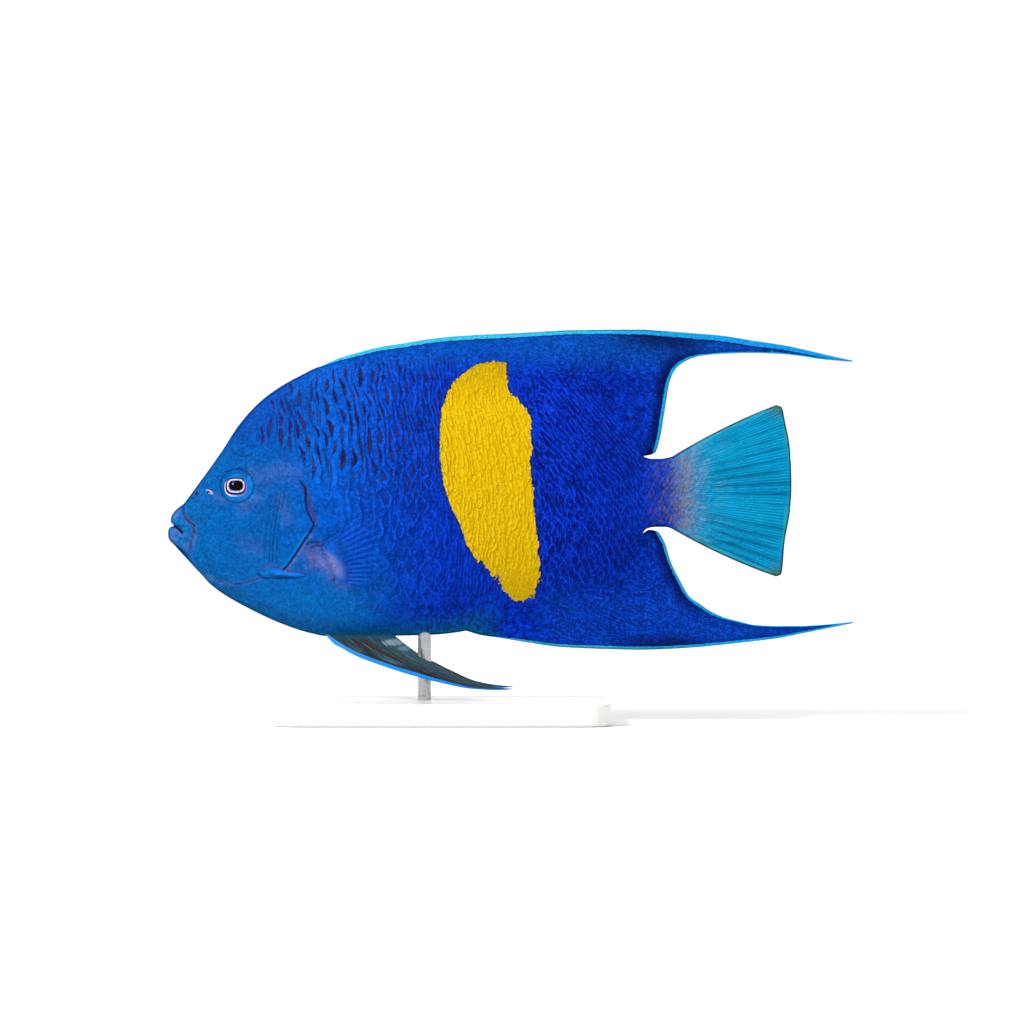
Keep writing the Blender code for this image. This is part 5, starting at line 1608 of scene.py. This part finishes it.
def pelvicLook():
    look = Look("Pelvic fin")
    back, up = look.backUp()
    across, along, lead = (look.value(key) for key in ("across", "along", "lead"))
    streaks = look.noise(1.0, 4.0, 0.6, where=look.add("CombineXYZ", {0: across * 30.0, 1: along * 5.0}))
    brownRay = abs(across - along.times(-0.1, 0.5)) + streaks * 0.06

    def patch(atBack, atUp, wide, high):
        # a light spot with a ragged border
        middle = ((back - atBack) / wide) ** 2.0 + ((up - atUp) / high) ** 2.0
        return middle + (streaks - 0.5) * 6.0

    leadShare = lead / (along.fade(0.0, 0.28, 1.5, 3.6) - along.fade(0.5, 1.0, 0.0, 2.6))
    pale = leadShare.fade(1.4, 1.12) * along.fade(0.45, 0.15)
    membrane = look.layers(
        look.ramp(streaks.fade(0.34, 0.66), (0.0, (10, 10, 20)), (1.0, (84, 118, 130)),
                  (0.2, (66, 40, 38)), (0.36, (18, 22, 36)), (0.6, (18, 64, 76)), (0.8, (38, 52, 62))),
        (across.fade(0.45, 0.95, 0.0, 0.55), (52, 88, 100)),
        (brownRay.fade(0.09, 0.03, 0.0, 0.7), (62, 38, 38)),
        ((up + streaks * 3.0).fade(44.4, 47.8, 0.0, 0.85), (3, 72, 96)),
        (patch(119.5, 42.6, 4.6, 1.7).fade(1.6, 0.2, 0.0, 0.75), (134, 154, 170)),
        (patch(125.5, 39.4, 3.4, 1.2).fade(1.6, 0.2, 0.0, 0.6), (96, 134, 160)),
        (pale * 0.6, (132, 112, 118)), (leadShare.fade(1.1, 0.98), (2, 140, 240)),
        (leadShare.fade(0.2, 0.04, 0.0, 0.45), (0, 104, 190)))
    look.set(Base_Color=membrane, Roughness=streaks.fade(0.2, 0.8, 0.36, 0.55), Specular_IOR_Level=0.1)
    look.bump(streaks, 0.7, 0.0004)
    return look.material


print("paired fins")
finPieces("pelvic", pelvicSpot, pelvicHalf, 92, 60, pelvicLook(), "pelvic_fin", pelvicLead)

pectoral = {
    "root": [(80.5, 93.6), (84.0, 84.5), (91.0, 73.2)],
    "margin": [(110.5, 117.2), (121.5, 107.5), (125.5, 94.0), (120.5, 80.0), (107.5, 69.0)],
    "spread": 25.0, "rays": 14, "rootHalf": 1.6, "fleshAt": (84.8, 84.0),
}
pectoralRoot, pectoralMargin = placed(walk(pectoral["root"], 80)), walk(pectoral["margin"], 160)


def pectoralSpot(u, v):
    a, b = alongLine(pectoralRoot, u), alongLine(pectoralMargin, u)
    scallop = 1 - 0.012 * np.abs(np.sin(math.pi * u * pectoral["rays"])) * v
    place = mix(a, b, (v * scallop)[..., None])
    out = skinHalf(a[..., 0], a[..., 1]) + 0.1 - 1.0 * fade(0.06 - v, 0, 0.06) + pectoral["spread"] * v ** 0.9
    return np.stack([place[..., 0], out, place[..., 1]], -1)


def pectoralHalf(u, v):
    half = mix(pectoral["rootHalf"], 0.12, np.minimum(1.7 * v, 1) ** 0.6)
    half = half * np.minimum(1, 0.2 + 4 * np.minimum(u, 1 - u))
    return half + 0.2 * waves(u, pectoral["rays"], -0.5, 6) * fade(v, 0.12, 0.3) * (1 - 0.75 * v)


def pectoralLook():
    look = Look("Pectoral fin")
    across, along, grain = look.value("across"), look.value("along"), look.noise(900.0, 3.0)
    x, y, z = look.split()
    rayWave = look.calc("COSINE", across.times(2 * math.pi * pectoral["rays"], math.pi))
    # a pale oval on the fleshy root
    grow = abs(y).times(1000 / cameraAway, 1.0)
    fromRoot = (x * grow).times(1000.0, middleBack - pectoral["fleshAt"][0])
    aboveRoot = z.times(1000.0, -pectoral["fleshAt"][1])
    lengthways, sideways = fromRoot.times(0.77, aboveRoot * -0.64), fromRoot.times(0.64, aboveRoot * 0.77)
    oval = (lengthways / 11.5) ** 2.0 + (sideways / 6.4) ** 2.0 + (grain - 0.5) * 2.2
    fleshy = look.blend(oval.fade(1.2, 0.1, 0.0, 0.75),
                        look.blend(grain.fade(0.35, 0.65), (2, 56, 142), (4, 88, 192)),
                        look.ramp(grain, (0.36, (66, 84, 142)), (0.64, (142, 136, 180))))
    beginning = along + (grain - 0.5) * 0.2
    rayColour = look.blend(rayWave.fade(-0.2, -0.75), (2, 86, 218), (2, 50, 146))
    clearness = along.fade(0.84, 0.3, 0.02, 0.52) * abs(rayWave).fade(0.25, 0.85, 0.15, 1.0)
    solid = look.calc("MAXIMUM", clearness, beginning.fade(0.36, 0.16))
    aside = look.calc("MINIMUM", across, 1.0 - across) + grain * 0.04
    solid = solid * (aside.fade(0.02, 0.12) * along.fade(0.03, 0.1))
    look.set(Base_Color=look.blend(beginning.fade(0.2, 0.42), fleshy, rayColour), Alpha=solid,
             Roughness=grain.fade(0.2, 0.8, 0.4, 0.6), Specular_IOR_Level=0.05)
    look.bump(grain, 0.4, 0.0002)
    return look.material


finPieces("pectoral", pectoralSpot, pectoralHalf, 9 * pectoral["rays"] + 1, 30, pectoralLook(),
          "pectoral_fin")


# Tail rays: each splits in two and again in two towards the rear edge

tailRay = {     # the steps of the fan, as (from, to, places before, places after)
    "steps": ((0.02, 0.36, (0,), (0,)), (0.3, 0.68, (0, 0), (-0.42, 0.42)),
              (0.62, 0.985, (-0.42, -0.42, 0.42, 0.42), (-0.66, -0.22, 0.22, 0.66))),
    "points": 15, "profile": ((-1, -0.12), (-0.45, 0.16), (0.45, 0.16), (1, -0.12)),
}


def rayPiece(level, low, high, before, after):
    # one bar with five sides, as rows of points along it
    v = np.linspace(low, high, tailRay["points"])
    spread = mix(before, after, fade((v - low) / (high - low), 0, 0.8))
    at = np.clip(level + spread / fins["tailRays"], -0.985, 0.985)
    rootBack = tailRootBack(at)
    end = alongLine(tailRearWalk, (at + 1) / 2)
    bow = fins["tailBow"] * at * 4 * v * (1 - v)
    centre = np.stack([mix(rootBack, end[:, 0], v), mix(levelUp(rootBack, at), end[:, 1], v) + bow], 1)
    ahead = np.gradient(centre, axis=0)
    ahead /= np.linalg.norm(ahead, axis=1, keepdims=True)
    aside = np.stack([-ahead[:, 1], ahead[:, 0]], 1)
    taper = np.sin(np.linspace(0.25, math.pi - 0.25, tailRay["points"])) ** 0.5
    rows = []
    for offset, proud in tailRay["profile"]:
        p = centre + aside * (mix(0.62, 0.34, v) * taper * offset)[:, None]
        rows.append(np.stack([p[:, 0], skinHalf(p[:, 0], p[:, 1]) + proud * taper, p[:, 1]], 1))
    rows.append(np.stack([centre[:, 0], np.maximum(rows[0][:, 1] - 0.2, 0.02), centre[:, 1]], 1))
    return np.concatenate(rows)


print("tail rays")
tailRearWalk = walk(fins["tailRear"][::-1], 200)
points, faces, n = [], [], tailRay["points"]
half = fins["tailRays"] // 2
for k in range(1 - half, half):
    for low, high, befores, afters in tailRay["steps"]:
        for before, after in zip(befores, afters):
            start = len(points) * 5 * n
            points.append(rayPiece(k / half, low, high, before, after))
            for r in range(5):
                a, b = start + r * n, start + ((r + 1) % 5) * n
                faces += [(a + i, a + i + 1, b + i + 1, b + i) for i in range(n - 1)]
            ends = tuple(start + r * n for r in range(5))
            faces += [ends, tuple(i + n - 1 for i in ends)[::-1]]
mark(bothSides("tail_rays", np.concatenate(points), faces, coat, "tail_fin"), plain)


# Stand: the CAD nodes keep their shape and get their finish here

lacquer = Look("White lacquered wood")
grainLines = lacquer.noise(40.0, 5.0, 0.6, where=lacquer.stretch(0.12, 1.6, 1.6))
dust = lacquer.noise(700.0, 3.0)
lacquer.set(Base_Color=lacquer.ramp(grainLines, (0.3, (226, 224, 218)), (0.7, (238, 237, 233))),
            Roughness=dust.fade(0.3, 0.7, 0.3, 0.42), Specular_IOR_Level=0.45, Coat_Weight=0.25,
            Coat_Roughness=0.2)
lacquer.bump(grainLines + dust * 0.25, 0.35, 0.0004)
steel = Look("Brushed steel")
brushed = steel.noise(900.0, 3.0, 0.5, where=steel.stretch(0.3, 0.3, 3.0))
steel.set(Base_Color=steel.ramp(brushed, (0.3, (150, 152, 156)), (0.7, (196, 198, 202))),
          Roughness=brushed.fade(0.3, 0.7, 0.24, 0.4), Metallic=1.0)
steel.bump(brushed, 0.1, 0.00005)
for node, finish in (("stand_base", lacquer), ("stand_rod", steel)):
    for slot in bpy.data.objects[node].material_slots:
        slot.material = finish.material


# Camera, floor and light

studio = {"lens": 135.0, "away": 2.0307, "side": 0.0008, "up": 0.1113, "floorRadius": 1.7,
          "wallRadius": 4.0, "wallHeight": 3.6, "turns": 96, "sky": 0.6}

camera = bpy.data.cameras.new("Camera")
camera.lens, camera.sensor_width, camera.clip_end = studio["lens"], 36.0, 50.0
cameraObject = bpy.data.objects.new("Camera", camera)
cameraObject.location = (studio["side"], -studio["away"], studio["up"])
cameraObject.rotation_euler = (math.pi / 2, 0, 0)
bpy.context.scene.collection.objects.link(cameraObject)
bpy.context.scene.camera = cameraObject

bend, turns = studio["wallRadius"] - studio["floorRadius"], studio["turns"]
profile = [(r, 0.0) for r in (0.2, 0.5, studio["floorRadius"])]
profile += [(studio["floorRadius"] + bend * math.sin(t), bend * (1 - math.cos(t)))
            for t in np.linspace(0, math.pi / 2, 25)[1:]]
profile += [(studio["wallRadius"], studio["wallHeight"])]
points = [(0.0, 0.0, 0.0)] + [
    (r * math.cos(a), r * math.sin(a), z)
    for r, z in profile for a in np.linspace(0, 2 * math.pi, turns, endpoint=False)]
faces = []
for k in range(turns):
    n = (k + 1) % turns
    faces.append((0, 1 + k, 1 + n))
    for a in range(1, 1 + (len(profile) - 1) * turns, turns):
        faces.append((a + k, a + turns + k, a + turns + n, a + n))
floorLook = Look("Studio floor")
floorTint = floorLook.layers(
    floorLook.blend(floorLook.split()[2].fade(0.0, 0.6), (236, 236, 235), (252, 252, 251)),
    (floorLook.noise(3.0, 4.0).fade(0.3, 0.7, 0.0, 0.08), (228, 228, 227)))
floorLook.set(Base_Color=floorTint, Roughness=0.9, Specular_IOR_Level=0.1)
studioFloor = addObject("studio_floor", points, faces, floorLook.material)
for face in studioFloor.data.polygons:
    face.use_smooth = True

sky = bpy.data.worlds.new("Studio light")
bpy.context.scene.world = sky
sky.use_nodes = True
sky.node_tree.nodes["Background"].inputs["Color"].default_value = (1, 1, 1, 1)
sky.node_tree.nodes["Background"].inputs["Strength"].default_value = studio["sky"]
bpy.context.scene.view_settings.view_transform = "Standard"

model, wall = (0, 0, 0.12), (0.0, 3.3, 1.2)
lamps = {       # place, target, size and power
    "Key": ((-1.5, -1.15, 1.6), model, 0.6, 47.0), "Fill": ((1.5, -1.6, 0.9), model, 1.4, 6.0),
    "Back": ((0.3, 1.6, 1.8), model, 1.4, 16.0), "Wall": ((0.0, 0.4, 2.9), wall, 2.2, 30.0)}
for name, (place, target, size, power) in lamps.items():
    lamp = bpy.data.lights.new(name, "AREA")
    lamp.size, lamp.energy = size, power
    lampObject = bpy.data.objects.new(name, lamp)
    lampObject.location = place
    aim = np.array(target) - np.array(place)
    lampObject.rotation_euler = (math.atan2(np.hypot(aim[0], aim[1]), -aim[2]), 0,
                                 math.atan2(aim[1], aim[0]) - math.pi / 2)
    bpy.context.scene.collection.objects.link(lampObject)
